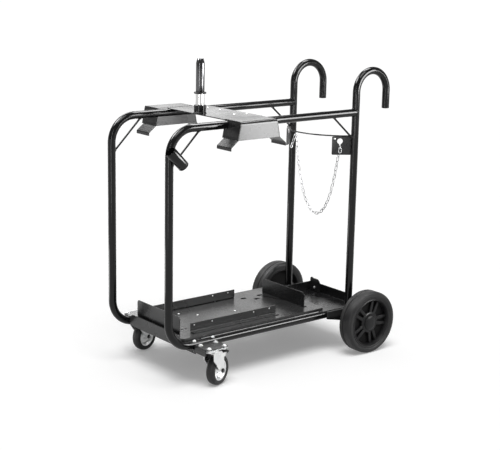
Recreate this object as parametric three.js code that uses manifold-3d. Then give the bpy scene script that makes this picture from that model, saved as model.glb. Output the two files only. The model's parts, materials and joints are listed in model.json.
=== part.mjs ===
// Welding cart: bent-tube side frames, a tray for the power source, a low tray for
// a gas cylinder, a feeder pin on a top plate, cable hangers, swivel casters and
// spoked rear wheels. Millimetres, +X to the caster end, +Y to the left, +Z up.
// The origin is on the floor, in the middle of the cart's outline.
import * as THREE from 'three';
import { mergeVertices } from 'three/addons/utils/BufferGeometryUtils.js';
import Module from 'manifold-3d';

const wasm = await Module();
wasm.setup();

// Clearance kept between pieces that touch
const GAP = 0.3;

// Side frames and rear posts
const TUBE_D = 32;
const TUBE_WALL = 2;
const FRAME_LENGTH = 950;
const FRAME_WIDTH = 400;
const TOP_RAIL_Z = 1027;
const BOTTOM_RAIL_Z = 167;
const FRAME_BEND_R = 104;
const HOOK_SPAN = 173;
const HOOK_CROWN_Z = 1214;
const HOOK_TIP_LENGTH = 75;
const CAP_FLANGE = 2.5;
const CAP_PLUG = 12;
const BRACE_D = 8;
const FRONT_BRACE_LEG = 150;
const REAR_BRACE_DROP = 120;
const REAR_BRACE_RUN = 140;

// Torch holder beside the left front upright
const HOLDER_D = 36;
const HOLDER_WALL = 2;
const HOLDER_LENGTH = 88;
const HOLDER_TILT = 45;
const HOLDER_BELOW_RAIL = 104;
const HOLDER_SETBACK = 8;

// Feeder plate, feeder pin and cable hangers
const FEEDER_SETBACK = 358;
const FEEDER_PLATE_LENGTH = 192;
const FEEDER_PLATE_WIDTH = 380;
const FEEDER_PLATE_T = 4;
const PIN_FORWARD = 71;
const PIN_D = 35;
const PIN_HEIGHT = 216;
const PIN_CONE_HEIGHT = 18;
const PIN_CONE_TOP_D = 24;
const COLLAR_D = 48;
const COLLAR_HEIGHT = 33;
const PIN_RING_D = 50;
const PIN_RING_T = 6;
const PIN_RING_HEIGHT = 77;
const HANGER_T = 3;
const HANGER_REACH = 100;
const HANGER_DROP = 71;
const HANGER_TOP_LENGTH = 178;
const HANGER_FLARE = 15;
const HANGER_STAGGER = 50;
const TONGUE_RUN = 33;
const TONGUE_DROP = 26;
const TONGUE_LIP = 12;
const TONGUE_INSET = 10;

// Tray for the power source
const SHEET_T = 3;
const PLATFORM_SETBACK = 71;
const PLATFORM_LENGTH = 742;
const PLATFORM_WIDTH = 392;
const PLATFORM_RISE = 14;
const PLATFORM_CORNER_R = 14;
const APRON_WIDTH = 356;
const APRON_RISE = 10;
const APRON_DROP = 40;
const APRON_CORNER_R = 26;
const GUIDE_SPACING = 280;
const GUIDE_LENGTH = 440;
const GUIDE_SETBACK = 147;
const GUIDE_HEIGHT = 37;
const GUIDE_FOOT = 25;
const STOP_SETBACK = 91;
const STOP_WIDTH = 300;
const STOP_HEIGHT = 74;
const BAY_LENGTH = 654;
const PARTITION_WIDTH = 282;
const PARTITION_HEIGHT = 63;
const PLATE_FOOT = 16;
const PLATE_CORNER_R = 12;
const SLOT_LENGTH = 30;
const SLOT_WIDTH = 9;
const SLOT_FROM_PARTITION = 87;
const SLOT_STAGGER = 45;
const SLOT_SIDE = 108;
const SLOT_STAGGER_SIDE = 72;
const FRONT_SLOT_FROM_STOP = 57;
const FRONT_SLOT_SIDE = 94;

// Gas cylinder tray, cradle rod and chain plates
const CYLINDER_TRAY_LENGTH = 202;
const CYLINDER_TRAY_WIDTH = 236;
const CYLINDER_TRAY_WALL = 41;
const CYLINDER_FLOOR_RISE = 4;
const CRADLE_D = 6;
const CRADLE_Z = 928;
const CRADLE_DEPTH = 135;
const CHAIN_PLATE_ANGLE = 34;
const CHAIN_PLATE_T = 4;
const CHAIN_PLATE_LENGTH = 80;
const CHAIN_PLATE_HEIGHT = 78;
const KEYHOLE_D = 24;
const KEYHOLE_ALONG = 46;
const KEYHOLE_BELOW_TOP = 20;
const KEYHOLE_SLOT = 6;
const KEYHOLE_SLOT_DROP = 34;

// Chain
const WIRE_D = 3.5;
const LINK_PITCH = 21;
const LINK_INNER_WIDTH = 7;
const LINK_COUNT = 37;
const LINK_FUSE = 0.8;
const ANCHOR_INNER_WIDTH = 9;
const ANCHOR_INNER_LENGTH = 22;
const STUD_D = 4.6;
const STUD_Z = 890;
const STUD_LENGTH = 15;
const STUD_HEAD_D = 12;
const STUD_HEAD_T = 3;
const STUD_LINK_AT = 8;

// Rear wheels and axle
const WHEEL_D = 270;
const WHEEL_WIDTH = 71;
const WHEEL_TRACK = 595;
const WHEEL_BEAD_D = 208;
const RIM_OPENING_D = 188;
const RIM_WIDTH = 62;
const RIM_TAPER = 4;
const RIM_WEB_T = 4;
const HUB_D = 48;
const HUB_BOSS_D = 92;
const HUB_INNER_REACH = 30;
const HUB_OUTER_REACH = 22;
const SPOKE_PAIRS = 5;
const SPOKE_W = 9;
const SPOKE_PAIR_SPREAD = 26;
const SPOKE_FACE = 18;
const SPOKE_T = 12;
const HUB_CAP_D = 66;
const HUB_CAP_T = 9;
const AXLE_D = 25;
const AXLE_BEHIND_POST = 20;
const BRACKET_T = 5;
const BRACKET_FORWARD = 140;
const BRACKET_BACK = 45;
const BRACKET_EYE_R = 22;
const SPACER_WALL = 4;

// Casters and the cross plate that carries them
const CASTER_SETBACK = 167;
const CASTER_END_INSET = 38;
const CASTER_D = 125;
const CASTER_WIDTH = 38;
const CASTER_BEAD_D = 86;
const CASTER_TRAIL = 38;
const LEFT_SWIVEL = 20.6;
const RIGHT_SWIVEL = 14.8;
const CROSS_PLATE_LENGTH = 600;
const CROSS_PLATE_WIDTH = 106;
const CROSS_PLATE_T = 4;
const CROSS_FLANGE_DEPTH = 16;
const OUTRIGGER_RISE = 20;
const OUTRIGGER_FLANGE = 30;
const CROSS_CORNER_R = 14;
const FLANGE_HOLE_D = 8;
const FLANGE_HOLE_Y = 205;
const CASTER_PLATE_LENGTH = 94;
const CASTER_PLATE_WIDTH = 78;
const CASTER_PLATE_T = 3.5;
const CASTER_BOLT_X = 74;
const CASTER_BOLT_Y = 56;
const BOLT_D = 8;
const BOLT_HEAD_R = 7.5;
const BOLT_HEAD_T = 5.5;
const NUT_T = 5.5;
const FORK_T = 3;
const FORK_HEAD_D = 54;
const FORK_CROWN_CLEARANCE = 20;
const FORK_SIDE_CLEARANCE = 3;
const FORK_EYE_R = 12;
const FORK_FRONT = 26;
const FORK_BACK = 28;
const FORK_SHOULDER = 30;
const FORK_TAPER = 3;
const CASTER_AXLE_D = 9.4;
const CASTER_HUB_D = 26;
const CASTER_RIM_LIP = 4;
const CASTER_WEB_T = 6;
const CASTER_SEAT_WIDTH = 30;
const PEDAL_PIVOT = 62;
const PEDAL_ABOVE_WHEEL = 2;
const PEDAL_REACH = 26;
const PEDAL_T = 9;
const PEDAL_PIN_D = 5;

// Facets
const TUBE_SIDES = 12;
const ROD_SIDES = 8;
const WHEEL_SIDES = 32;
const CASTER_SIDES = 24;
const BEND_STEPS = 6;

// Places that follow from the driving dimensions
const TUBE_R = TUBE_D / 2;
const HOLDER_RISE = THREE.MathUtils.degToRad(HOLDER_TILT);
const HOLDER_HALF_RUN = (HOLDER_LENGTH * Math.cos(HOLDER_RISE) + HOLDER_D * Math.sin(HOLDER_RISE)) / 2;
const HOLDER_FRONT = HOLDER_HALF_RUN - HOLDER_SETBACK;
const OVERALL_LENGTH = TUBE_R + HOOK_SPAN + FRAME_LENGTH + HOLDER_FRONT;
const FRONT_X = OVERALL_LENGTH / 2 - HOLDER_FRONT;
const POST_X = FRONT_X - FRAME_LENGTH;
const TIP_X = POST_X - HOOK_SPAN;
const SIDE_Y = FRAME_WIDTH / 2;
const ARCH_R = HOOK_SPAN / 2;
const ARCH_Z = HOOK_CROWN_Z - TUBE_R - ARCH_R;
const TIP_Z = ARCH_Z - HOOK_TIP_LENGTH;
const RAIL_UNDERSIDE = BOTTOM_RAIL_Z - TUBE_R;
const FEEDER_X = FRONT_X - FEEDER_SETBACK;
const FEEDER_BOTTOM = TOP_RAIL_Z + TUBE_R + GAP;
const FEEDER_TOP = FEEDER_BOTTOM + FEEDER_PLATE_T;
const PIN_X = FEEDER_X + PIN_FORWARD;
const PIN_Z = FEEDER_TOP + GAP;
const PLATFORM_FRONT = FRONT_X - PLATFORM_SETBACK;
const PLATFORM_REAR = PLATFORM_FRONT - PLATFORM_LENGTH;
const PLATFORM_TOP = BOTTOM_RAIL_Z + TUBE_R + PLATFORM_RISE;
const FIXTURE_Z = PLATFORM_TOP + GAP;
const STOP_X = FRONT_X - STOP_SETBACK;
const PARTITION_X = STOP_X - BAY_LENGTH;
const AXLE_X = POST_X - AXLE_BEHIND_POST;
const AXLE_Z = (WHEEL_D / 2) * Math.cos(Math.PI / WHEEL_SIDES);
const WHEEL_Y = WHEEL_TRACK / 2;
const BRACKET_IN = SIDE_Y + TUBE_R + GAP;
const BRACKET_OUT = BRACKET_IN + BRACKET_T;
const CASTER_X = FRONT_X - CASTER_SETBACK;
const CASTER_Y = CROSS_PLATE_LENGTH / 2 - CASTER_END_INSET;
const CASTER_AXLE_Z = (CASTER_D / 2) * Math.cos(Math.PI / CASTER_SIDES);
const CROSS_TOP = RAIL_UNDERSIDE - GAP;
const CROSS_BOTTOM = CROSS_TOP - CROSS_PLATE_T;
const OUTRIGGER_TOP = CROSS_TOP + OUTRIGGER_RISE;
const OUTRIGGER_BOTTOM = OUTRIGGER_TOP - CROSS_PLATE_T;
const CASTER_PLATE_TOP = OUTRIGGER_BOTTOM - GAP;
const CASTER_PLATE_BOTTOM = CASTER_PLATE_TOP - CASTER_PLATE_T;
const FORK_TOP = CASTER_PLATE_BOTTOM - GAP;
const CROWN_BOTTOM = CASTER_D + FORK_CROWN_CLEARANCE;
const CROWN_TOP = CROWN_BOTTOM + FORK_T;
const FORK_IN = CASTER_WIDTH / 2 + FORK_SIDE_CLEARANCE;
const FORK_OUT = FORK_IN + FORK_T;
const PEDAL_Z = CASTER_D + PEDAL_ABOVE_WHEEL;

// Finishes
const BLACK_PAINT = { color: 0x0b0b0c, roughness: 0.25, metalness: 0.0 };
const BLACK_PLASTIC = { color: 0x141416, roughness: 0.5, metalness: 0.0 };
const TYRE_RUBBER = { color: 0x1c1c1f, roughness: 0.75, metalness: 0.0 };
const ZINC = { color: 0xc9cbcc, roughness: 0.3, metalness: 0.9 };
const STEEL = { color: 0xa8abad, roughness: 0.2, metalness: 1.0 };

const cart = new THREE.Group();

// Solids: a three.js geometry goes into a solid, is joined or cut, and comes back
function solid(geometry) {
  const bare = geometry.clone();
  bare.deleteAttribute('normal');
  bare.deleteAttribute('uv');
  const merged = mergeVertices(bare, 1e-4);
  const triVerts = Uint32Array.from(merged.index.array);
  const vertProperties = Float32Array.from(merged.attributes.position.array);
  if (signedVolume(vertProperties, triVerts) < 0) {
    for (let i = 0; i < triVerts.length; i += 3) {
      [triVerts[i + 1], triVerts[i + 2]] = [triVerts[i + 2], triVerts[i + 1]];
    }
  }
  return new wasm.Manifold(new wasm.Mesh({ numProp: 3, vertProperties, triVerts }));
}

function signedVolume(points, triangles) {
  const corner = (i) => new THREE.Vector3().fromArray(points, 3 * triangles[i]);
  let six = 0;
  for (let i = 0; i < triangles.length; i += 3) {
    six += corner(i).dot(corner(i + 1).cross(corner(i + 2)));
  }
  return six / 6;
}

function geometryOf(manifold) {
  const { vertProperties, triVerts } = manifold.getMesh();
  const geometry = new THREE.BufferGeometry();
  geometry.setAttribute('position', new THREE.BufferAttribute(vertProperties, 3));
  geometry.setIndex(new THREE.BufferAttribute(triVerts, 1));
  return geometry;
}

function join(...geometries) {
  const solids = geometries.map(solid);
  return geometryOf(solids.reduce((sum, next) => sum.add(next)));
}

function cut(geometry, ...tools) {
  return geometryOf(tools.map(solid).reduce((rest, tool) => rest.subtract(tool), solid(geometry)));
}

function mirrored(geometry) {
  return geometryOf(solid(geometry.clone().scale(1, -1, 1)));
}

function add(name, geometry, finish, parent = cart) {
  const shape = geometryOf(solid(geometry));
  shape.computeVertexNormals();
  const mesh = new THREE.Mesh(shape, new THREE.MeshStandardMaterial(finish));
  mesh.name = name;
  parent.add(mesh);
  return mesh;
}

// Shapes used by several pieces
function box(x0, x1, y0, y1, z0, z1) {
  const geometry = new THREE.BoxGeometry(x1 - x0, y1 - y0, z1 - z0);
  return geometry.translate((x0 + x1) / 2, (y0 + y1) / 2, (z0 + z1) / 2);
}

function polygon(radius, sides) {
  const corners = [];
  for (let i = 0; i < sides; i += 1) {
    const angle = (2 * Math.PI * i) / sides;
    corners.push(new THREE.Vector2(radius * Math.cos(angle), radius * Math.sin(angle)));
  }
  return corners;
}

// A path that is read only at its own stations, so straight runs take no extra rings
class Stations extends THREE.Curve {
  constructor(points, tangents) {
    super();
    this.points = points;
    this.tangents = tangents;
  }

  index(u) {
    return Math.round(u * (this.points.length - 1));
  }

  getPoint(u, target = new THREE.Vector3()) {
    return target.copy(this.points[this.index(u)]);
  }

  getPointAt(u, target) {
    return this.getPoint(u, target);
  }

  getTangentAt(u, target = new THREE.Vector3()) {
    return target.copy(this.tangents[this.index(u)]);
  }
}

// Straight legs between corners, with a round bend of one radius at each inner corner
function bentPath(corners, bendRadius, steps = BEND_STEPS) {
  const points = [];
  const tangents = [];
  const push = (point, tangent) => {
    if (points.length === 0 || point.distanceTo(points[points.length - 1]) > 1e-3) {
      points.push(point);
      tangents.push(tangent);
    }
  };
  const heading = (i) => corners[i + 1].clone().sub(corners[i]).normalize();
  push(corners[0].clone(), heading(0));
  for (let i = 1; i < corners.length - 1; i += 1) {
    const before = heading(i - 1);
    const after = heading(i);
    const turn = before.angleTo(after);
    const side = after.clone().addScaledVector(before, -after.dot(before)).normalize();
    const start = corners[i].clone().addScaledVector(before, -bendRadius * Math.tan(turn / 2));
    const centre = start.clone().addScaledVector(side, bendRadius);
    for (let k = 0; k <= steps; k += 1) {
      const angle = (turn * k) / steps;
      const point = centre.clone()
        .addScaledVector(side, -bendRadius * Math.cos(angle))
        .addScaledVector(before, bendRadius * Math.sin(angle));
      const tangent = before.clone().multiplyScalar(Math.cos(angle))
        .addScaledVector(side, Math.sin(angle));
      push(point, tangent);
    }
  }
  push(corners[corners.length - 1].clone(), heading(corners.length - 2));
  return new Stations(points, tangents);
}

function sweep(path, diameter, wall, sides) {
  const section = new THREE.Shape(polygon(diameter / 2, sides));
  if (wall > 0) {
    section.holes.push(new THREE.Path(polygon(diameter / 2 - wall, sides)));
  }
  const steps = path.points.length - 1;
  return new THREE.ExtrudeGeometry(section, { steps, bevelEnabled: false, extrudePath: path });
}

function straight(from, to) {
  return bentPath([from, to], 0);
}

function rod(from, to, diameter, sides = ROD_SIDES) {
  return sweep(straight(from, to), diameter, 0, sides);
}

// The space a round tube needs, for shaping what butts against it
function tubeSpace(from, to) {
  return rod(from, to, TUBE_D + 2 * GAP, 2 * TUBE_SIDES);
}

// A profile of radius and height turned about Y, with a flat facet at the bottom
function turned(profile, sides) {
  const points = profile.map(([r, along]) => new THREE.Vector2(r, along));
  return new THREE.LatheGeometry(points, sides).rotateY(Math.PI / sides);
}

// A turned ring or washer whose axis is Z
function upright(geometry) {
  return geometry.rotateX(Math.PI / 2);
}

// An outline in X and Z, pushed from y0 to y1
function sidePlate(shape, y0, y1) {
  const geometry = new THREE.ExtrudeGeometry(shape, {
    depth: y1 - y0, bevelEnabled: false, curveSegments: BEND_STEPS,
  });
  return geometry.rotateX(Math.PI / 2).translate(0, y1, 0);
}

// An outline in X and Y, pushed from z0 to z1
function flatPlate(shape, z0, z1) {
  const geometry = new THREE.ExtrudeGeometry(shape, {
    depth: z1 - z0, bevelEnabled: false, curveSegments: BEND_STEPS,
  });
  return geometry.translate(0, 0, z0);
}

function roundedRectangle(x0, x1, y0, y1, radius) {
  const shape = new THREE.Shape();
  shape.moveTo(x0 + radius, y0);
  shape.lineTo(x1 - radius, y0);
  shape.absarc(x1 - radius, y0 + radius, radius, -Math.PI / 2, 0);
  shape.lineTo(x1, y1 - radius);
  shape.absarc(x1 - radius, y1 - radius, radius, 0, Math.PI / 2);
  shape.lineTo(x0 + radius, y1);
  shape.absarc(x0 + radius, y1 - radius, radius, Math.PI / 2, Math.PI);
  shape.lineTo(x0, y0 + radius);
  shape.absarc(x0 + radius, y0 + radius, radius, Math.PI, 1.5 * Math.PI);
  return shape;
}

function vec(x, y, z) {
  return new THREE.Vector3(x, y, z);
}

const radians = THREE.MathUtils.degToRad;
const SIDES = [['left', 1], ['right', -1]];

// Side frames: one bent tube each, coped to the rear post at both ends
function postSpace(y) {
  return tubeSpace(vec(POST_X, y, 0), vec(POST_X, y, HOOK_CROWN_Z));
}

function framePath(y) {
  const corners = [
    vec(POST_X, y, BOTTOM_RAIL_Z),
    vec(FRONT_X, y, BOTTOM_RAIL_Z),
    vec(FRONT_X, y, TOP_RAIL_Z),
    vec(POST_X, y, TOP_RAIL_Z),
  ];
  return bentPath(corners, FRAME_BEND_R);
}

function makeSideFrame(y) {
  return cut(sweep(framePath(y), TUBE_D, TUBE_WALL, TUBE_SIDES), postSpace(y));
}

// The space one whole side frame needs, bends included
function frameSpace(y) {
  return sweep(framePath(y), TUBE_D + 2 * GAP, 0, 2 * TUBE_SIDES);
}

// Rear posts: upright tubes that arch back into hooks
function makeRearPost(y) {
  const corners = [
    vec(POST_X, y, RAIL_UNDERSIDE),
    vec(POST_X, y, ARCH_Z + ARCH_R),
    vec(TIP_X, y, ARCH_Z + ARCH_R),
    vec(TIP_X, y, TIP_Z),
  ];
  return sweep(bentPath(corners, ARCH_R), TUBE_D, TUBE_WALL, TUBE_SIDES);
}

function makeHookCap(y) {
  const plugR = TUBE_R - TUBE_WALL - 3 * GAP;
  const cap = upright(turned([
    [0, -CAP_FLANGE], [TUBE_R - GAP, -CAP_FLANGE], [TUBE_R, 0],
    [plugR, 0], [plugR, CAP_PLUG], [0, CAP_PLUG],
  ], TUBE_SIDES));
  return cap.translate(TIP_X, y, TIP_Z - GAP);
}

// Brace rods across the top corners
function makeFrontBrace(y) {
  const brace = rod(
    vec(FRONT_X, y, TOP_RAIL_Z - FRONT_BRACE_LEG),
    vec(FRONT_X - FRONT_BRACE_LEG, y, TOP_RAIL_Z),
    BRACE_D,
  );
  const uprightSpace = tubeSpace(vec(FRONT_X, y, 0), vec(FRONT_X, y, TOP_RAIL_Z));
  return cut(brace, uprightSpace, railSpace(y));
}

function makeRearBrace(y) {
  const brace = rod(
    vec(POST_X, y, TOP_RAIL_Z - REAR_BRACE_DROP),
    vec(POST_X + REAR_BRACE_RUN, y, TOP_RAIL_Z),
    BRACE_D,
  );
  return cut(brace, postSpace(y), railSpace(y));
}

function railSpace(y) {
  return tubeSpace(vec(POST_X, y, TOP_RAIL_Z), vec(FRONT_X, y, TOP_RAIL_Z));
}

for (const [side, sign] of SIDES) {
  const y = sign * SIDE_Y;
  add(`${side}_side_frame`, makeSideFrame(y), BLACK_PAINT);
  add(`${side}_rear_post`, makeRearPost(y), BLACK_PAINT);
  add(`${side}_hook_cap`, makeHookCap(y), BLACK_PLASTIC);
  add(`${side}_front_brace`, makeFrontBrace(y), BLACK_PAINT);
  add(`${side}_rear_brace`, makeRearBrace(y), BLACK_PAINT);
}

// Torch holder: a short slanted tube on the outside of the left front upright
function makeTorchHolder() {
  const half = vec(Math.cos(HOLDER_RISE), 0, Math.sin(HOLDER_RISE)).multiplyScalar(HOLDER_LENGTH / 2);
  const y = SIDE_Y + TUBE_R + GAP + HOLDER_D / 2;
  const middle = vec(FRONT_X - HOLDER_SETBACK, y, TOP_RAIL_Z - HOLDER_BELOW_RAIL);
  const path = straight(middle.clone().sub(half), middle.clone().add(half));
  return sweep(path, HOLDER_D, HOLDER_WALL, TUBE_SIDES);
}

add('torch_holder', makeTorchHolder(), BLACK_PAINT);

// Feeder plate on the top rails, with the pin that a wire feeder turns on
function makeFeederPlate() {
  const halfLength = FEEDER_PLATE_LENGTH / 2;
  const halfWidth = FEEDER_PLATE_WIDTH / 2;
  return box(FEEDER_X - halfLength, FEEDER_X + halfLength, -halfWidth, halfWidth,
    FEEDER_BOTTOM, FEEDER_TOP);
}

function makePin() {
  const pinR = PIN_D / 2;
  const shoulder = PIN_HEIGHT - PIN_CONE_HEIGHT;
  const pin = turned([
    [0, 0], [pinR, 0], [pinR, shoulder], [PIN_CONE_TOP_D / 2, PIN_HEIGHT], [0, PIN_HEIGHT],
  ], CASTER_SIDES);
  return upright(pin).translate(PIN_X, 0, PIN_Z);
}

function makeRing(innerR, outerR, z0, z1) {
  const ring = turned([
    [innerR, z0], [outerR, z0], [outerR, z1], [innerR, z1], [innerR, z0],
  ], CASTER_SIDES);
  return upright(ring).translate(PIN_X, 0, PIN_Z);
}

add('feeder_plate', makeFeederPlate(), BLACK_PAINT);
add('feeder_pin', makePin(), STEEL);
add('feeder_pin_collar', makeRing(PIN_D / 2 + GAP, COLLAR_D / 2, 0, COLLAR_HEIGHT), BLACK_PAINT);
add('feeder_pin_ring',
  makeRing(PIN_D / 2 + GAP, PIN_RING_D / 2, PIN_RING_HEIGHT, PIN_RING_HEIGHT + PIN_RING_T),
  BLACK_PLASTIC);

// Cable hangers: a hat-shaped strip beside the feeder plate with a panel along its left edge.
// The strip's flared ends carry the cable coils.
function bentStrip(outer, thickness) {
  const inner = [];
  for (let i = 0; i < outer.length; i += 1) {
    const before = i > 0 ? outer[i].clone().sub(outer[i - 1]).normalize() : null;
    const after = i < outer.length - 1 ? outer[i + 1].clone().sub(outer[i]).normalize() : null;
    const first = before ?? after;
    const second = after ?? before;
    const normal = new THREE.Vector2(-first.y - second.y, first.x + second.x).normalize();
    const reach = thickness / normal.dot(new THREE.Vector2(-first.y, first.x));
    inner.push(outer[i].clone().addScaledVector(normal, reach));
  }
  return new THREE.Shape([...outer, ...inner.reverse()]);
}

function makeHanger(forward, yIn, yOut, railY) {
  const top = FEEDER_TOP;
  const low = top - HANGER_DROP;
  const halfTop = HANGER_TOP_LENGTH / 2;
  const halfLow = halfTop + HANGER_FLARE;
  const halfTongue = halfLow + TONGUE_RUN;
  const at = (x, z) => new THREE.Vector2(FEEDER_X + forward + x, z);
  const hood = bentStrip([at(halfLow, low), at(halfTop, top), at(-halfTop, top), at(-halfLow, low)],
    HANGER_T);
  const tongues = [1, -1].map((end) => {
    const outline = [
      at(end * halfTongue, low - TONGUE_DROP - TONGUE_LIP),
      at(end * halfTongue, low - TONGUE_DROP),
      at(end * halfLow, low),
      at((end * (halfLow + halfTop)) / 2, (low + top) / 2),
    ];
    const strip = end > 0 ? outline : outline.reverse();
    return sidePlate(bentStrip(strip, HANGER_T), yIn + TONGUE_INSET, yOut);
  });
  const panel = new THREE.Shape([
    at(halfLow, low), at(halfTop, top), at(-halfTop, top), at(-halfLow, low),
  ]);
  const whole = join(
    sidePlate(hood, yIn, yOut), sidePlate(panel, yOut - HANGER_T, yOut), ...tongues,
  );
  return cut(whole, railSpace(railY));
}

// Both hangers have their panel on the left. The right one stands further forward and its
// panel meets the feeder plate, notched around the right rail.
const HANGER_IN = FEEDER_PLATE_WIDTH / 2 + GAP;
add('left_cable_hanger', makeHanger(0, HANGER_IN, HANGER_IN + HANGER_REACH, SIDE_Y), BLACK_PAINT);
add('right_cable_hanger',
  makeHanger(HANGER_STAGGER, -HANGER_IN - HANGER_REACH, -HANGER_IN, -SIDE_Y), BLACK_PAINT);

// Platform: a tray of bent sheet whose lips stand on the bottom rails
function slotSpots() {
  const rear = PARTITION_X + SLOT_FROM_PARTITION;
  return [
    [rear - SLOT_STAGGER, -SLOT_SIDE],
    [rear, -SLOT_STAGGER_SIDE],
    [rear + SLOT_STAGGER, -SLOT_SIDE],
    [STOP_X - FRONT_SLOT_FROM_STOP, FRONT_SLOT_SIDE],
  ];
}

function makeSlot(x, y) {
  const outline = roundedRectangle(x - SLOT_LENGTH / 2, x + SLOT_LENGTH / 2,
    y - SLOT_WIDTH / 2, y + SLOT_WIDTH / 2, SLOT_WIDTH / 2);
  return flatPlate(outline, PLATFORM_TOP - 2 * SHEET_T, PLATFORM_TOP + SHEET_T);
}

// The machine's seat, clear of the slots, the guides and the end plates, is a face of its own
function seatBox(z0, z1) {
  const rear = PARTITION_X + SLOT_FROM_PARTITION + SLOT_STAGGER + SLOT_LENGTH;
  const front = STOP_X - FRONT_SLOT_FROM_STOP - SLOT_LENGTH;
  const half = GUIDE_SPACING / 2 - SHEET_T;
  return box(rear, front, -half, half, z0, z1);
}

function makePlatform() {
  const halfWidth = PLATFORM_WIDTH / 2;
  const offset = SIDE_Y - halfWidth;
  const lipBottom = BOTTOM_RAIL_Z + Math.sqrt(TUBE_R ** 2 - offset ** 2) + 1.5 * GAP;
  const outer = roundedRectangle(PLATFORM_REAR, PLATFORM_FRONT, -halfWidth, halfWidth,
    PLATFORM_CORNER_R);
  const inner = roundedRectangle(PLATFORM_REAR + SHEET_T, PLATFORM_FRONT - SHEET_T,
    SHEET_T - halfWidth, halfWidth - SHEET_T, PLATFORM_CORNER_R - SHEET_T);
  const tray = cut(
    flatPlate(outer, lipBottom, PLATFORM_TOP),
    flatPlate(inner, lipBottom - 1, PLATFORM_TOP - SHEET_T),
    frameSpace(SIDE_Y),
    frameSpace(-SIDE_Y),
    seatBox(PLATFORM_TOP - 2 * SHEET_T, PLATFORM_TOP + SHEET_T),
    ...slotSpots().map(([x, y]) => makeSlot(x, y)),
  );
  return join(tray, seatBox(PLATFORM_TOP - SHEET_T, PLATFORM_TOP), makeApron());
}

// Apron: an upright strip across the platform's front lip, with rounded top corners
function makeApron() {
  const half = APRON_WIDTH / 2;
  const bottom = PLATFORM_TOP - APRON_DROP;
  const outline = roundedRectangle(-half, half, bottom - 2 * APRON_CORNER_R, PLATFORM_TOP + APRON_RISE,
    APRON_CORNER_R);
  const x = PLATFORM_FRONT - SHEET_T;
  const strip = flatPlate(outline, 0, SHEET_T).rotateX(Math.PI / 2).rotateZ(Math.PI / 2);
  return cut(
    strip.translate(x, 0, 0),
    box(x - 1, x + SHEET_T + 1, -half - 1, half + 1, bottom - 3 * APRON_CORNER_R, bottom),
  );
}

// Guide rails: angle strips that keep the power source in line
function makeGuide() {
  const y = GUIDE_SPACING / 2;
  const x1 = FRONT_X - GUIDE_SETBACK;
  const x0 = x1 - GUIDE_LENGTH;
  return join(
    box(x0, x1, y, y + SHEET_T, FIXTURE_Z, FIXTURE_Z + GUIDE_HEIGHT),
    box(x0, x1, y, y + GUIDE_FOOT, FIXTURE_Z, FIXTURE_Z + SHEET_T),
  );
}

// Upright plate across the tray with a foot on its far side from the machine
function makeUprightPlate(faceX, outward, width, height) {
  const outline = roundedRectangle(-width / 2, width / 2, -PLATE_CORNER_R, height, PLATE_CORNER_R);
  const wall = flatPlate(outline, 0, SHEET_T).rotateX(Math.PI / 2).rotateZ(Math.PI / 2);
  const x = outward > 0 ? faceX : faceX - SHEET_T;
  const trimmed = cut(
    wall.translate(x, 0, FIXTURE_Z),
    box(x - 1, x + SHEET_T + 1, -width, width, FIXTURE_Z - 2 * PLATE_CORNER_R, FIXTURE_Z),
  );
  const toe = faceX + outward * PLATE_FOOT;
  const foot = box(Math.min(faceX, toe), Math.max(faceX, toe), -width / 2, width / 2,
    FIXTURE_Z, FIXTURE_Z + SHEET_T);
  return join(trimmed, foot);
}

const leftGuide = makeGuide();
add('platform', makePlatform(), BLACK_PAINT);
add('left_guide_rail', leftGuide, BLACK_PAINT);
add('right_guide_rail', mirrored(leftGuide), BLACK_PAINT);
add('front_stop_plate', makeUprightPlate(STOP_X, 1, STOP_WIDTH, STOP_HEIGHT), BLACK_PAINT);
add('partition_plate', makeUprightPlate(PARTITION_X, -1, PARTITION_WIDTH, PARTITION_HEIGHT),
  BLACK_PAINT);

// Cylinder tray: a floor between the bottom rails with a front, a rear and a right wall.
// Its left side is open.
function makeCylinderTray() {
  const x1 = PLATFORM_REAR - GAP;
  const x0 = x1 - CYLINDER_TRAY_LENGTH;
  const half = CYLINDER_TRAY_WIDTH / 2;
  const floor = BOTTOM_RAIL_Z + CYLINDER_FLOOR_RISE;
  const z0 = floor - SHEET_T;
  const wallTop = floor + CYLINDER_TRAY_WALL;
  const pan = join(
    box(x0, x1, -SIDE_Y, SIDE_Y, z0, floor),
    box(x0, x0 + SHEET_T, -half, half, z0, wallTop),
    box(x0, x1 - SHEET_T, -half, SHEET_T - half, z0, wallTop),
    box(x1 - SHEET_T, x1, -half, half, z0, PLATFORM_TOP - SHEET_T),
  );
  const inside = SIDE_Y - TUBE_R - GAP;
  return cut(
    pan,
    frameSpace(SIDE_Y),
    frameSpace(-SIDE_Y),
    postSpace(SIDE_Y),
    postSpace(-SIDE_Y),
    box(x0 - 1, POST_X, inside, SIDE_Y + 1, z0 - 1, floor + 1),
    box(x0 - 1, POST_X, -SIDE_Y - 1, -inside, z0 - 1, floor + 1),
  );
}

add('cylinder_tray', makeCylinderTray(), BLACK_PAINT);

// Cradle rod between the posts, an arc that the cylinder leans against
function makeCradle() {
  const radius = (SIDE_Y ** 2 + CRADLE_DEPTH ** 2) / (2 * CRADLE_DEPTH);
  const centreX = POST_X + CRADLE_DEPTH - radius;
  const halfAngle = Math.asin(SIDE_Y / radius);
  const points = [];
  const tangents = [];
  const steps = 2 * BEND_STEPS;
  for (let i = 0; i <= steps; i += 1) {
    const angle = halfAngle * ((2 * i) / steps - 1);
    points.push(vec(centreX + radius * Math.cos(angle), radius * Math.sin(angle), CRADLE_Z));
    tangents.push(vec(-Math.sin(angle), Math.cos(angle), 0));
  }
  const arc = sweep(new Stations(points, tangents), CRADLE_D, 0, ROD_SIDES);
  return cut(arc, postSpace(SIDE_Y), postSpace(-SIDE_Y));
}

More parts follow.
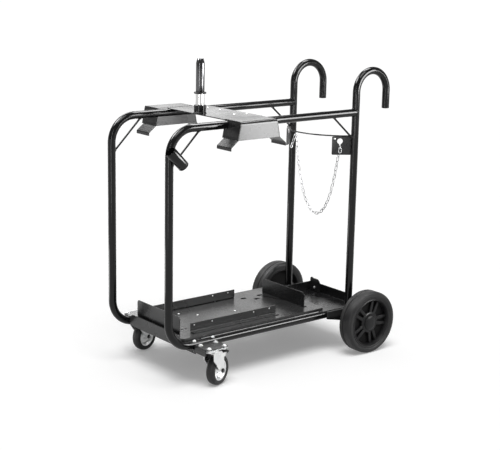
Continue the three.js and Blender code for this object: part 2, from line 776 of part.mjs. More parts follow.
// Chain plates: wings on the posts under the cradle rod, each with a keyhole
const PLATE_TURN = -radians(CHAIN_PLATE_ANGLE);
const PLATE_TOP = CRADLE_Z - CRADLE_D / 2 - GAP;
const KEYHOLE_S = TUBE_R + GAP + KEYHOLE_ALONG;
const KEYHOLE_Z = PLATE_TOP - KEYHOLE_BELOW_TOP;
const SLOT_BOTTOM = KEYHOLE_Z - KEYHOLE_SLOT_DROP;

function makeChainPlate() {
  const s0 = TUBE_R + GAP;
  const s1 = s0 + CHAIN_PLATE_LENGTH;
  const half = CHAIN_PLATE_T / 2;
  const blank = box(s0, s1, -half, half, PLATE_TOP - CHAIN_PLATE_HEIGHT, PLATE_TOP);
  const round = turned([
    [0, -CHAIN_PLATE_T], [KEYHOLE_D / 2, -CHAIN_PLATE_T], [KEYHOLE_D / 2, CHAIN_PLATE_T],
    [0, CHAIN_PLATE_T],
  ], TUBE_SIDES).translate(KEYHOLE_S, 0, KEYHOLE_Z);
  const slot = box(KEYHOLE_S - KEYHOLE_SLOT / 2, KEYHOLE_S + KEYHOLE_SLOT / 2,
    -CHAIN_PLATE_T, CHAIN_PLATE_T, SLOT_BOTTOM, KEYHOLE_Z);
  const plate = cut(blank, round, slot);
  return cut(plate.rotateZ(PLATE_TURN).translate(POST_X, SIDE_Y, 0), postSpace(SIDE_Y));
}

const leftChainPlate = makeChainPlate();
add('cradle_rod', makeCradle(), BLACK_PAINT);
add('left_chain_plate', leftChainPlate, BLACK_PAINT);
add('right_chain_plate', mirrored(leftChainPlate), BLACK_PAINT);

// Chain: it hangs from a link in the left keyhole to a stud on the right post
const PLATE_ALONG = vec(Math.cos(PLATE_TURN), Math.sin(PLATE_TURN), 0);
const PLATE_NORMAL = vec(-Math.sin(PLATE_TURN), Math.cos(PLATE_TURN), 0);
const ANCHOR_CENTRE = vec(POST_X, SIDE_Y, 0)
  .addScaledVector(PLATE_ALONG, KEYHOLE_S)
  .setZ(SLOT_BOTTOM + GAP + WIRE_D + ANCHOR_INNER_WIDTH / 2);
const CHAIN_START = ANCHOR_CENTRE.clone()
  .addScaledVector(PLATE_NORMAL, WIRE_D / 2 + 2 * GAP - ANCHOR_INNER_LENGTH / 2)
  .setZ(ANCHOR_CENTRE.z - ANCHOR_INNER_WIDTH / 2 + WIRE_D / 2 + 2 * GAP);
const CHAIN_END = vec(POST_X, TUBE_R + STUD_LINK_AT - SIDE_Y, STUD_Z);
const CHAIN_AXIS = CHAIN_START.clone().sub(CHAIN_END).normalize();

// One closed loop of wire: two straight sides and two rounded ends
function wireLoop(centre, along, across, innerLength, innerWidth) {
  const bendR = (innerWidth + WIRE_D) / 2;
  const half = (innerLength + WIRE_D) / 2 - bendR;
  const normal = along.clone().cross(across);
  const stations = [];
  const bendPoints = 4;
  for (const end of [1, -1]) {
    for (let k = 0; k < bendPoints; k += 1) {
      const angle = (Math.PI / bendPoints) * (k + 0.5) - Math.PI / 2;
      const out = along.clone().multiplyScalar(end * Math.cos(angle))
        .addScaledVector(across, end * Math.sin(angle));
      const point = centre.clone().addScaledVector(along, end * half)
        .addScaledVector(out, bendR / Math.cos(Math.PI / (2 * bendPoints)));
      stations.push({ point, out });
    }
  }
  const sides = 4;
  const vertices = [];
  const index = [];
  stations.forEach(({ point, out }, i) => {
    for (let k = 0; k < sides; k += 1) {
      const angle = (2 * Math.PI * k) / sides;
      const vertex = point.clone()
        .addScaledVector(out, (WIRE_D / 2) * Math.cos(angle))
        .addScaledVector(normal, (WIRE_D / 2) * Math.sin(angle));
      vertices.push(vertex.x, vertex.y, vertex.z);
      const next = ((i + 1) % stations.length) * sides;
      const turn = (k + 1) % sides;
      index.push(i * sides + k, next + k, next + turn, i * sides + k, next + turn, i * sides + turn);
    }
  });
  const geometry = new THREE.BufferGeometry();
  geometry.setAttribute('position', new THREE.Float32BufferAttribute(vertices, 3));
  geometry.setIndex(index);
  return geometry;
}

// The hanging line: a catenary of the chain's length between two points
function hangingLine(start, end, length) {
  const level = end.clone().sub(start).setZ(0);
  const span = level.length();
  const rise = end.z - start.z;
  const target = Math.sqrt(length ** 2 - rise ** 2) / span;
  let low = 1e-3;
  let high = 50;
  for (let i = 0; i < 60; i += 1) {
    const middle = (low + high) / 2;
    if (Math.sinh(middle) / middle < target) {
      low = middle;
    } else {
      high = middle;
    }
  }
  const a = span / (2 * low);
  const lowest = span / 2 - a * Math.atanh(rise / length);
  const depth = (s) => a * Math.cosh((s - lowest) / a);
  const heading = level.clone().normalize();
  return (along) => {
    const s = lowest + a * Math.asinh(along / a - Math.sinh(lowest / a));
    return start.clone().addScaledVector(heading, s).setZ(start.z + depth(s) - depth(0));
  };
}

function makeChain() {
  const length = LINK_COUNT * LINK_PITCH;
  const eye = (LINK_INNER_WIDTH + LINK_FUSE) / 2;
  const at = hangingLine(CHAIN_START, CHAIN_END.clone().setZ(STUD_Z + eye), length);
  const flat = CHAIN_AXIS.clone().setZ(0).normalize();
  const innerLength = LINK_PITCH - LINK_FUSE;
  const links = [];
  for (let i = 0; i < LINK_COUNT; i += 1) {
    const from = at(i * LINK_PITCH);
    const to = at((i + 1) * LINK_PITCH);
    const along = to.clone().sub(from).normalize();
    const facing = vec(0, 0, 1).cross(flat);
    const across = i % 2 === 0 ? facing : facing.clone().cross(along).normalize();
    const centre = from.add(to).multiplyScalar(0.5);
    links.push(wireLoop(centre, along, across, innerLength, LINK_INNER_WIDTH));
  }
  return join(...links);
}

function makeStud() {
  const from = CHAIN_END.clone().addScaledVector(CHAIN_AXIS, -STUD_LINK_AT - TUBE_R);
  const tip = CHAIN_END.clone().addScaledVector(CHAIN_AXIS, STUD_LENGTH - STUD_LINK_AT);
  const head = tip.clone().addScaledVector(CHAIN_AXIS, -STUD_HEAD_T);
  const stud = join(rod(from, tip, STUD_D, TUBE_SIDES), rod(head, tip, STUD_HEAD_D, TUBE_SIDES));
  return cut(stud, postSpace(-SIDE_Y));
}

add('chain_anchor_link',
  wireLoop(ANCHOR_CENTRE, PLATE_NORMAL, vec(0, 0, 1), ANCHOR_INNER_LENGTH, ANCHOR_INNER_WIDTH), ZINC);
add('chain_stud', makeStud(), ZINC);
add('cylinder_chain', makeChain(), ZINC);

// Axle, its brackets on the bottom rails, and the sleeves that space the wheels out
function makeAxle() {
  const end = WHEEL_Y + HUB_OUTER_REACH;
  return rod(vec(AXLE_X, -end, AXLE_Z), vec(AXLE_X, end, AXLE_Z), AXLE_D, 2 * TUBE_SIDES);
}

function axleSpace(y0, y1) {
  return rod(vec(AXLE_X, y0, AXLE_Z), vec(AXLE_X, y1, AXLE_Z), AXLE_D + 2 * GAP, 2 * TUBE_SIDES);
}

function makeAxleBracket() {
  const outline = new THREE.Shape();
  const eye = BRACKET_EYE_R;
  outline.moveTo(POST_X - BRACKET_BACK, BOTTOM_RAIL_Z + TUBE_R);
  outline.lineTo(AXLE_X - eye, AXLE_Z);
  outline.absarc(AXLE_X, AXLE_Z, eye, Math.PI, 1.75 * Math.PI);
  outline.lineTo(POST_X + BRACKET_FORWARD, RAIL_UNDERSIDE);
  outline.lineTo(POST_X + BRACKET_FORWARD, BOTTOM_RAIL_Z + TUBE_R);
  return cut(sidePlate(outline, BRACKET_IN, BRACKET_OUT), axleSpace(BRACKET_IN - 1, BRACKET_OUT + 1));
}

function makeSpacer() {
  const inner = AXLE_D / 2 + GAP;
  const y0 = BRACKET_OUT + GAP;
  const y1 = WHEEL_Y - HUB_INNER_REACH - GAP;
  const sleeve = turned([
    [inner, y0], [inner + SPACER_WALL, y0], [inner + SPACER_WALL, y1], [inner, y1], [inner, y0],
  ], CASTER_SIDES);
  return sleeve.translate(AXLE_X, 0, AXLE_Z);
}

const leftBracket = makeAxleBracket();
const leftSpacer = makeSpacer();
add('rear_axle', makeAxle(), STEEL);
add('left_axle_bracket', leftBracket, BLACK_PAINT);
add('right_axle_bracket', mirrored(leftBracket), BLACK_PAINT);
add('left_axle_spacer', leftSpacer, STEEL);
add('right_axle_spacer', mirrored(leftSpacer), STEEL);

// Rear wheels: solid tyre on a rim with paired spokes, closed by a hub cap.
// Each is turned about Y with its outer face towards +Y.
function makeTyre(outerD, beadD, width, sides) {
  const outerR = outerD / 2;
  const beadR = beadD / 2;
  const half = width / 2;
  const wall = outerR - beadR;
  const halfProfile = [
    [beadR, 0.9], [beadR + 0.45 * wall, 1], [outerR - 0.18 * wall, 0.9], [outerR, 0.62],
  ];
  const right = halfProfile.map(([r, share]) => [r, share * half]);
  const left = halfProfile.map(([r, share]) => [r, -share * half]).reverse();
  return turned([...left, ...right, left[0]], sides);
}

function makeRim() {
  const seatR = WHEEL_BEAD_D / 2 - GAP;
  const openR = RIM_OPENING_D / 2;
  const half = RIM_WIDTH / 2;
  const barrel = turned([
    [seatR, -half], [seatR, half], [openR + RIM_TAPER, half], [openR, SPOKE_FACE],
    [openR, SPOKE_FACE - SPOKE_T], [openR + RIM_TAPER, -half], [seatR, -half],
  ], WHEEL_SIDES);
  const boreR = AXLE_D / 2 + GAP;
  const bossR = HUB_BOSS_D / 2;
  const hub = turned([
    [boreR, -HUB_INNER_REACH], [HUB_D / 2, -HUB_INNER_REACH], [HUB_D / 2, SPOKE_FACE - SPOKE_T],
    [bossR, SPOKE_FACE - SPOKE_T], [bossR, HUB_OUTER_REACH], [boreR, HUB_OUTER_REACH],
    [boreR, -HUB_INNER_REACH],
  ], WHEEL_SIDES);
  const webBack = SPOKE_FACE - SPOKE_T - RIM_WEB_T + 1;
  const webR = openR + RIM_TAPER / 2;
  const web = turned([
    [HUB_D / 2 - 1, webBack], [webR, webBack], [webR, webBack + RIM_WEB_T],
    [HUB_D / 2 - 1, webBack + RIM_WEB_T], [HUB_D / 2 - 1, webBack],
  ], WHEEL_SIDES);
  const spokes = [];
  for (let i = 0; i < SPOKE_PAIRS; i += 1) {
    for (const offset of [-SPOKE_PAIR_SPREAD / 2, SPOKE_PAIR_SPREAD / 2]) {
      const spoke = box(bossR - SPOKE_W, openR + RIM_TAPER / 2, SPOKE_FACE - SPOKE_T, SPOKE_FACE,
        offset - SPOKE_W / 2, offset + SPOKE_W / 2);
      spokes.push(spoke.rotateY((2 * Math.PI * i) / SPOKE_PAIRS));
    }
  }
  return join(barrel, hub, web, ...spokes);
}

function makeHubCap() {
  const r = HUB_CAP_D / 2;
  const y = HUB_OUTER_REACH + GAP;
  return turned([[0, y], [r, y], [r, y + HUB_CAP_T / 2], [0.7 * r, y + HUB_CAP_T], [0, y + HUB_CAP_T]],
    CASTER_SIDES);
}

for (const [side, sign] of SIDES) {
  const wheel = new THREE.Group();
  wheel.position.set(AXLE_X, sign * WHEEL_Y, AXLE_Z);
  wheel.rotation.z = sign > 0 ? 0 : Math.PI;
  cart.add(wheel);
  add(`${side}_rear_tyre`, makeTyre(WHEEL_D, WHEEL_BEAD_D, WHEEL_WIDTH, WHEEL_SIDES), TYRE_RUBBER, wheel);
  add(`${side}_rear_rim`, makeRim(), BLACK_PLASTIC, wheel);
  add(`${side}_hub_cap`, makeHubCap(), BLACK_PLASTIC, wheel);
}

// Cross plate under the bottom rails: a shallow channel whose ends step up outside the rails
// into outriggers that the casters bolt to
function boltSpots() {
  const spots = [];
  for (const x of [-CASTER_BOLT_X / 2, CASTER_BOLT_X / 2]) {
    for (const y of [-CASTER_BOLT_Y / 2, CASTER_BOLT_Y / 2]) {
      spots.push([x, y]);
    }
  }
  return spots;
}

function boltSpace(x, y) {
  return rod(vec(x, y, 0), vec(x, y, OUTRIGGER_TOP + 1), BOLT_D + 2 * GAP, TUBE_SIDES);
}

function makeCrossPlate() {
  const halfX = CROSS_PLATE_WIDTH / 2;
  const halfY = CROSS_PLATE_LENGTH / 2;
  const x0 = CASTER_X - halfX;
  const x1 = CASTER_X + halfX;
  const outline = roundedRectangle(x0, x1, -halfY, halfY, CROSS_CORNER_R);
  const stepIn = SIDE_Y + TUBE_R + GAP;
  const stepOut = stepIn + CROSS_PLATE_T;
  const wings = cut(
    flatPlate(outline, OUTRIGGER_BOTTOM, OUTRIGGER_TOP),
    box(x0 - 1, x1 + 1, -stepIn, stepIn, OUTRIGGER_BOTTOM - 1, OUTRIGGER_TOP + 1),
  );
  const web = box(x0, x1, -stepOut, stepOut, CROSS_BOTTOM, CROSS_TOP);
  const pieces = [];
  for (const end of [x0, x1 - CROSS_PLATE_T]) {
    pieces.push(box(end, end + CROSS_PLATE_T, -stepOut, stepOut, CROSS_TOP - CROSS_FLANGE_DEPTH, CROSS_TOP));
  }
  for (const [, sign] of SIDES) {
    const spanY = (a, b) => [Math.min(sign * a, sign * b), Math.max(sign * a, sign * b)];
    pieces.push(box(x0, x1, ...spanY(stepIn, stepOut), CROSS_BOTTOM, OUTRIGGER_TOP));
    for (const end of [x0, x1 - CROSS_PLATE_T]) {
      pieces.push(box(end, end + CROSS_PLATE_T, ...spanY(stepIn, halfY - CROSS_CORNER_R),
        OUTRIGGER_TOP - OUTRIGGER_FLANGE, OUTRIGGER_TOP));
    }
  }
  const holeZ = CROSS_TOP - CROSS_FLANGE_DEPTH / 2 - CROSS_PLATE_T / 2;
  const drilled = [];
  for (const [, sign] of SIDES) {
    for (const [x, y] of boltSpots()) {
      drilled.push(boltSpace(CASTER_X + x, sign * CASTER_Y + y));
    }
    const from = vec(CASTER_X, sign * FLANGE_HOLE_Y, holeZ);
    drilled.push(rod(from, vec(CASTER_X + CROSS_PLATE_WIDTH, from.y, holeZ), FLANGE_HOLE_D, TUBE_SIDES));
  }
  return cut(join(web, wings, ...pieces), ...drilled);
}

add('caster_cross_plate', makeCrossPlate(), BLACK_PAINT);

// Casters: fixed plate and bolts, swivelling fork, axle bolt, rim and tyre
function makeCasterPlate() {
  const halfX = CASTER_PLATE_LENGTH / 2;
  const halfY = CASTER_PLATE_WIDTH / 2;
  const blank = box(-halfX, halfX, -halfY, halfY, CASTER_PLATE_BOTTOM, CASTER_PLATE_TOP);
  return cut(blank, ...boltSpots().map(([x, y]) => boltSpace(x, y)));
}

function makeBolt(x, y) {
  const headZ = OUTRIGGER_TOP + GAP;
  const nutZ = CASTER_PLATE_BOTTOM - GAP;
  const hexagon = 6;
  return join(
    rod(vec(x, y, headZ), vec(x, y, headZ + BOLT_HEAD_T), 2 * BOLT_HEAD_R, hexagon),
    rod(vec(x, y, nutZ - NUT_T), vec(x, y, headZ + 1), BOLT_D, TUBE_SIDES),
    rod(vec(x, y, nutZ - NUT_T), vec(x, y, nutZ), 2 * BOLT_HEAD_R, hexagon),
  );
}

function legOutline(braked) {
  const outline = new THREE.Shape();
  const low = CROWN_BOTTOM - FORK_SHOULDER;
  outline.moveTo(FORK_FRONT, CROWN_TOP);
  outline.lineTo(FORK_FRONT - FORK_TAPER, low);
  outline.absarc(-CASTER_TRAIL, CASTER_AXLE_Z, FORK_EYE_R, -Math.PI / 6, -Math.PI, true);
  if (braked) {
    outline.lineTo(-CASTER_TRAIL - FORK_EYE_R + FORK_TAPER, PEDAL_Z - PEDAL_T - FORK_T);
    outline.lineTo(-PEDAL_PIVOT, PEDAL_Z - PEDAL_T / 2);
    outline.absarc(-PEDAL_PIVOT, PEDAL_Z, PEDAL_T / 2, -Math.PI / 2, -1.5 * Math.PI, true);
    outline.lineTo(-FORK_BACK - 4 * FORK_TAPER, PEDAL_Z + PEDAL_T / 2 + FORK_TAPER);
  } else {
    outline.lineTo(-FORK_BACK - 2 * FORK_TAPER, low);
  }
  outline.lineTo(-FORK_BACK, CROWN_TOP);
  return outline;
}

function makeFork(braked) {
  const outline = legOutline(braked);
  const crown = box(-FORK_BACK, FORK_FRONT, -FORK_OUT, FORK_OUT, CROWN_BOTTOM, CROWN_TOP);
  const head = rod(vec(0, 0, CROWN_TOP - 1), vec(0, 0, FORK_TOP), FORK_HEAD_D, CASTER_SIDES);
  const whole = join(
    sidePlate(outline, FORK_IN, FORK_OUT), sidePlate(outline, -FORK_OUT, -FORK_IN), crown, head,
  );
  const bores = [acrossRod(-CASTER_TRAIL, CASTER_AXLE_Z, FORK_OUT + 1, CASTER_AXLE_D + 2 * GAP)];
  if (braked) {
    bores.push(acrossRod(-PEDAL_PIVOT, PEDAL_Z, FORK_OUT + 1, PEDAL_PIN_D + 2 * GAP));
  }
  return cut(whole, ...bores);
}

function acrossRod(x, z, half, diameter) {
  return rod(vec(x, -half, z), vec(x, half, z), diameter, TUBE_SIDES);
}

function makeCasterAxle() {
  const hexagon = 6;
  const x = -CASTER_TRAIL;
  const end = FORK_OUT + GAP;
  const heads = [1, -1].map((side) => rod(vec(x, side * end, CASTER_AXLE_Z),
    vec(x, side * (end + BOLT_HEAD_T), CASTER_AXLE_Z), 2 * BOLT_HEAD_R, hexagon));
  return join(acrossRod(x, CASTER_AXLE_Z, end + 1, CASTER_AXLE_D), ...heads);
}

function makeCasterRim() {
  const boreR = CASTER_AXLE_D / 2 + GAP;
  const hubR = CASTER_HUB_D / 2;
  const seatR = CASTER_BEAD_D / 2 - GAP;
  const hubHalf = FORK_IN - GAP;
  const seatHalf = CASTER_SEAT_WIDTH / 2;
  const webHalf = CASTER_WEB_T / 2;
  const lip = CASTER_RIM_LIP;
  const fillet = lip / 2;
  const rim = turned([
    [boreR, -hubHalf], [hubR, -hubHalf], [hubR + fillet, -webHalf], [seatR - 2 * lip, -webHalf],
    [seatR - lip, -seatHalf], [seatR, -seatHalf], [seatR, seatHalf], [seatR - lip, seatHalf],
    [seatR - 2 * lip, webHalf], [hubR + fillet, webHalf], [hubR, hubHalf], [boreR, hubHalf],
    [boreR, -hubHalf],
  ], CASTER_SIDES);
  return rim.translate(-CASTER_TRAIL, 0, CASTER_AXLE_Z);
}

function makePedal() {
  const halfWidth = FORK_IN - GAP;
  const outline = new THREE.Shape();
  const r = PEDAL_T / 2;
  outline.moveTo(-PEDAL_PIVOT, PEDAL_Z + r);
  outline.absarc(-PEDAL_PIVOT, PEDAL_Z, r, Math.PI / 2, -Math.PI / 2, true);
  outline.lineTo(-PEDAL_PIVOT - PEDAL_REACH, PEDAL_Z - r / 2);
  outline.lineTo(-PEDAL_PIVOT - PEDAL_REACH, PEDAL_Z + r);
  return join(
    sidePlate(outline, -halfWidth, halfWidth),
    acrossRod(-PEDAL_PIVOT, PEDAL_Z, FORK_OUT, PEDAL_PIN_D),
  );
}

const CASTERS = [['left', 1, LEFT_SWIVEL, true], ['right', -1, RIGHT_SWIVEL, false]];
for (const [side, sign, swivel, braked] of CASTERS) {
  const seat = new THREE.Group();
  seat.position.set(CASTER_X, sign * CASTER_Y, 0);
  cart.add(seat);
  add(`${side}_caster_plate`, makeCasterPlate(), ZINC, seat);
  boltSpots().forEach(([x, y], i) => {
    add(`${side}_caster_bolt_${i + 1}`, makeBolt(x, y), ZINC, seat);
  });
  const turning = new THREE.Group();
  turning.rotation.z = radians(swivel);
  seat.add(turning);
  add(`${side}_caster_fork`, makeFork(braked), ZINC, turning);
  add(`${side}_caster_axle`, makeCasterAxle(), ZINC, turning);
  add(`${side}_caster_rim`, makeCasterRim(), ZINC, turning);
  const tyre = makeTyre(CASTER_D, CASTER_BEAD_D, CASTER_WIDTH, CASTER_SIDES);
  add(`${side}_caster_tyre`, tyre.translate(-CASTER_TRAIL, 0, CASTER_AXLE_Z), TYRE_RUBBER, turning);
  if (braked) {
    add(`${side}_brake_pedal`, makePedal(), BLACK_PLASTIC, turning);
  }
}

export default cart;
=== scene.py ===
import json
import math

import bmesh
import bpy
from mathutils import Matrix, Vector


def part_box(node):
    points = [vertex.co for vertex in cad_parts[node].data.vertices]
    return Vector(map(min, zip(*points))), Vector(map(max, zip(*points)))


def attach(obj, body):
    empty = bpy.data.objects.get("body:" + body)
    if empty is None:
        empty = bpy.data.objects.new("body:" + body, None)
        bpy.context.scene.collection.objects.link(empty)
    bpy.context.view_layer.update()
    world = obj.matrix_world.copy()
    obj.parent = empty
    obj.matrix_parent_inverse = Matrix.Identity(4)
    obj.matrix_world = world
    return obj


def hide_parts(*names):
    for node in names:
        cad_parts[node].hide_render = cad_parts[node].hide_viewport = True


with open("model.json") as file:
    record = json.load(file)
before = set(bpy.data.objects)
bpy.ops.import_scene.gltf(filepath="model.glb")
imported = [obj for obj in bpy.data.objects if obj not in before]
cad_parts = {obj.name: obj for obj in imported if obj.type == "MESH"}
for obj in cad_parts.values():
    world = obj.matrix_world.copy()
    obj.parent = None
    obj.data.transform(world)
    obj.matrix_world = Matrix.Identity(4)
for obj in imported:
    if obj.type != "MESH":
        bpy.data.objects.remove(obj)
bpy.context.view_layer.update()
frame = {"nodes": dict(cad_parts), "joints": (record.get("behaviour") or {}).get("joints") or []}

MM = 0.001
scene = bpy.context.scene
scene.view_settings.view_transform = "Standard"


def low(node):
    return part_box(node)[0] / MM


def high(node):
    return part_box(node)[1] / MM


# Places read from the solids
TUBE_R = 16.0
SIDE_Y = (low("left_side_frame").y + high("left_side_frame").y) / 2
FRONT_X = high("left_side_frame").x - TUBE_R
RAIL_LOW = low("left_side_frame").z + TUBE_R
RAIL_TOP = high("left_side_frame").z - TUBE_R
POST_X = high("left_rear_post").x - TUBE_R
TIP_X = low("left_rear_post").x + TUBE_R
POST_FOOT = low("left_rear_post").z
CROWN_Z = high("left_rear_post").z
ARCH_R = (POST_X - TIP_X) / 2
ARCH_Z = CROWN_Z - TUBE_R - ARCH_R
TIP_Z = high("left_hook_cap").z - 12 + 0.3
FRAME_BEND = 104.0
PLATE_TOP = high("feeder_plate").z
PIN_X = (low("feeder_pin").x + high("feeder_pin").x) / 2
PIN_Z = low("feeder_pin").z
PIN_TOP = high("feeder_pin").z
FLOOR_TOP = low("front_stop_plate").z - 0.3
STOP_X = low("front_stop_plate").x
PARTITION_X = high("partition_plate").x
AXLE_X = (low("rear_axle").x + high("rear_axle").x) / 2
AXLE_Z = (low("rear_axle").z + high("rear_axle").z) / 2
WHEEL_Y = (low("left_rear_tyre").y + high("left_rear_tyre").y) / 2
CASTER_X = (low("caster_cross_plate").x + high("caster_cross_plate").x) / 2
CASTER_Y = (low("left_caster_plate").y + high("left_caster_plate").y) / 2
CASTER_AXLE_Z = (low("left_caster_axle").z + high("left_caster_axle").z) / 2
CASTER_TRAIL = 38.0
CRADLE_Z = (low("cradle_rod").z + high("cradle_rod").z) / 2
SIDES = (("left", 1), ("right", -1))
SWIVEL = {"left": math.radians(20.6), "right": math.radians(14.8)}


# Shapes: each gives vertices and faces
def spread(axis):
    axis = Vector(axis).normalized()
    helper = Vector((0, 0, 1)) if abs(axis.z) < 0.9 else Vector((1, 0, 0))
    u = helper.cross(axis).normalized()
    return axis, u, axis.cross(u)


def lathe(profile, centre, axis, sides=48, closed=False):
    axis, u, v = spread(axis)
    verts, rings, faces = [], [], []
    for radius, along in profile:
        base = Vector(centre) + axis * along
        count = sides if radius > 1e-6 else 1
        rings.append(list(range(len(verts), len(verts) + count)))
        for k in range(count):
            turn = 2 * math.pi * k / sides
            verts.append(base + u * (radius * math.cos(turn)) + v * (radius * math.sin(turn)))
    pairs = list(zip(rings, rings[1:]))
    if closed:
        pairs.append((rings[-1], rings[0]))
    for a, b in pairs:
        for k in range(sides):
            n = (k + 1) % sides
            if len(a) == 1 and len(b) == 1:
                continue
            if len(a) == 1:
                faces.append((a[0], b[n], b[k]))
            elif len(b) == 1:
                faces.append((a[k], a[n], b[0]))
            else:
                faces.append((a[k], a[n], b[n], b[k]))
    return verts, faces


def sweep(points, radius, sides=16, closed=False):
    points = [Vector(p) for p in points]
    count = len(points)
    radii = radius if isinstance(radius, list) else [radius] * count
    tangents = []
    for i in range(count):
        if closed:
            step = points[(i + 1) % count] - points[i - 1]
        else:
            step = points[min(i + 1, count - 1)] - points[max(i - 1, 0)]
        tangents.append(step.normalized())
    _, normal, _ = spread(tangents[0])
    verts, faces = [], []
    for i, point in enumerate(points):
        if i:
            normal = tangents[i - 1].rotation_difference(tangents[i]) @ normal
        other = tangents[i].cross(normal).normalized()
        for k in range(sides):
            turn = 2 * math.pi * k / sides
            verts.append(point + normal * (radii[i] * math.cos(turn)) + other * (radii[i] * math.sin(turn)))
    for i in range(count if closed else count - 1):
        a, b = i * sides, ((i + 1) % count) * sides
        for k in range(sides):
            n = (k + 1) % sides
            faces.append((a + k, a + n, b + n, b + k))
    if not closed:
        faces.append(tuple(reversed(range(sides))))
        faces.append(tuple(range((count - 1) * sides, count * sides)))
    return verts, faces


def bent(corners, radius, steps=24):
    corners = [Vector(c) for c in corners]
    path = [corners[0]]
    for before, corner, after in zip(corners, corners[1:], corners[2:]):
        a = (corner - before).normalized()
        b = (after - corner).normalized()
        turn = a.angle(b)
        side = (b - a * b.dot(a)).normalized()
        start = corner - a * (radius * math.tan(turn / 2))
        centre = start + side * radius
        for k in range(steps + 1):
            t = turn * k / steps
            point = centre - side * (radius * math.cos(t)) + a * (radius * math.sin(t))
            if (point - path[-1]).length > 0.01:
                path.append(point)
    if (corners[-1] - path[-1]).length > 0.01:
        path.append(corners[-1])
    return path


def prism(outline, place, d0, d1):
    count = len(outline)
    verts = [place(a, b, d0) for a, b in outline] + [place(a, b, d1) for a, b in outline]
    faces = [tuple(reversed(range(count))), tuple(range(count, 2 * count))]
    for k in range(count):
        n = (k + 1) % count
        faces.append((k, n, n + count, k + count))
    return verts, faces


def arc(cx, cy, radius, start, end, steps):
    turns = [math.radians(start + (end - start) * k / steps) for k in range(steps + 1)]
    return [(cx + radius * math.cos(t), cy + radius * math.sin(t)) for t in turns]


def rounded(x0, x1, y0, y1, radius, steps=6):
    return (arc(x1 - radius, y0 + radius, radius, -90, 0, steps)
            + arc(x1 - radius, y1 - radius, radius, 0, 90, steps)
            + arc(x0 + radius, y1 - radius, radius, 90, 180, steps)
            + arc(x0 + radius, y0 + radius, radius, 180, 270, steps))


def across_y(a, b, d):
    return Vector((a, d, b))


def across_x(a, b, d):
    return Vector((d, a, b))


def across_z(a, b, d):
    return Vector((a, b, d))


def hexagon_head(centre, axis, radius, height):
    axis, u, v = spread(axis)
    verts, faces = [], []
    for r, along in ((radius, 0), (radius, 0.78 * height), (0.84 * radius, height)):
        for k in range(6):
            turn = math.pi * k / 3
            verts.append(Vector(centre) + axis * along
                         + u * (r * math.cos(turn)) + v * (r * math.sin(turn)))
    for ring in (0, 6):
        for k in range(6):
            n = (k + 1) % 6
            faces.append((ring + k, ring + n, ring + 6 + n, ring + 6 + k))
    faces.append(tuple(reversed(range(6))))
    faces.append(tuple(range(12, 18)))
    return verts, faces


def hexagon_bolt(centre, axis, radius, height, washer=1.2):
    plate = lathe([(0, 0), (1.32 * radius, 0), (1.36 * radius, 0.4 * washer),
                   (1.3 * radius, washer), (0, washer)], centre, axis, 28)
    seat = Vector(centre) + Vector(axis).normalized() * washer
    return [plate, hexagon_head(seat, axis, radius, height)]


def dome_bolt(centre, axis, radius, height):
    return lathe([(0, 0), (radius, 0), (radius, 0.22 * height), (0.92 * radius, 0.5 * height),
                  (0.72 * radius, 0.82 * height), (0.42 * radius, height), (0.36 * radius, 0.72 * height),
                  (0, 0.7 * height)], centre, axis, 24)


def weld(points, radius, closed=True, ripple=0.14):
    count = len(points)
    radii = [radius * (1 + ripple * math.sin(2.1 * i) + 0.5 * ripple * math.sin(0.7 * i))
             for i in range(count)]
    if not closed:
        radii[0] = radii[-1] = 0.45 * radius
    return sweep(points, radii, 10, closed)


def weld_ring(centre, axis, ring_radius, radius, steps=30):
    axis, u, v = spread(axis)
    turns = [2 * math.pi * k / steps for k in range(steps)]
    return weld([Vector(centre) + u * (ring_radius * math.cos(t)) + v * (ring_radius * math.sin(t))
                 for t in turns], radius)


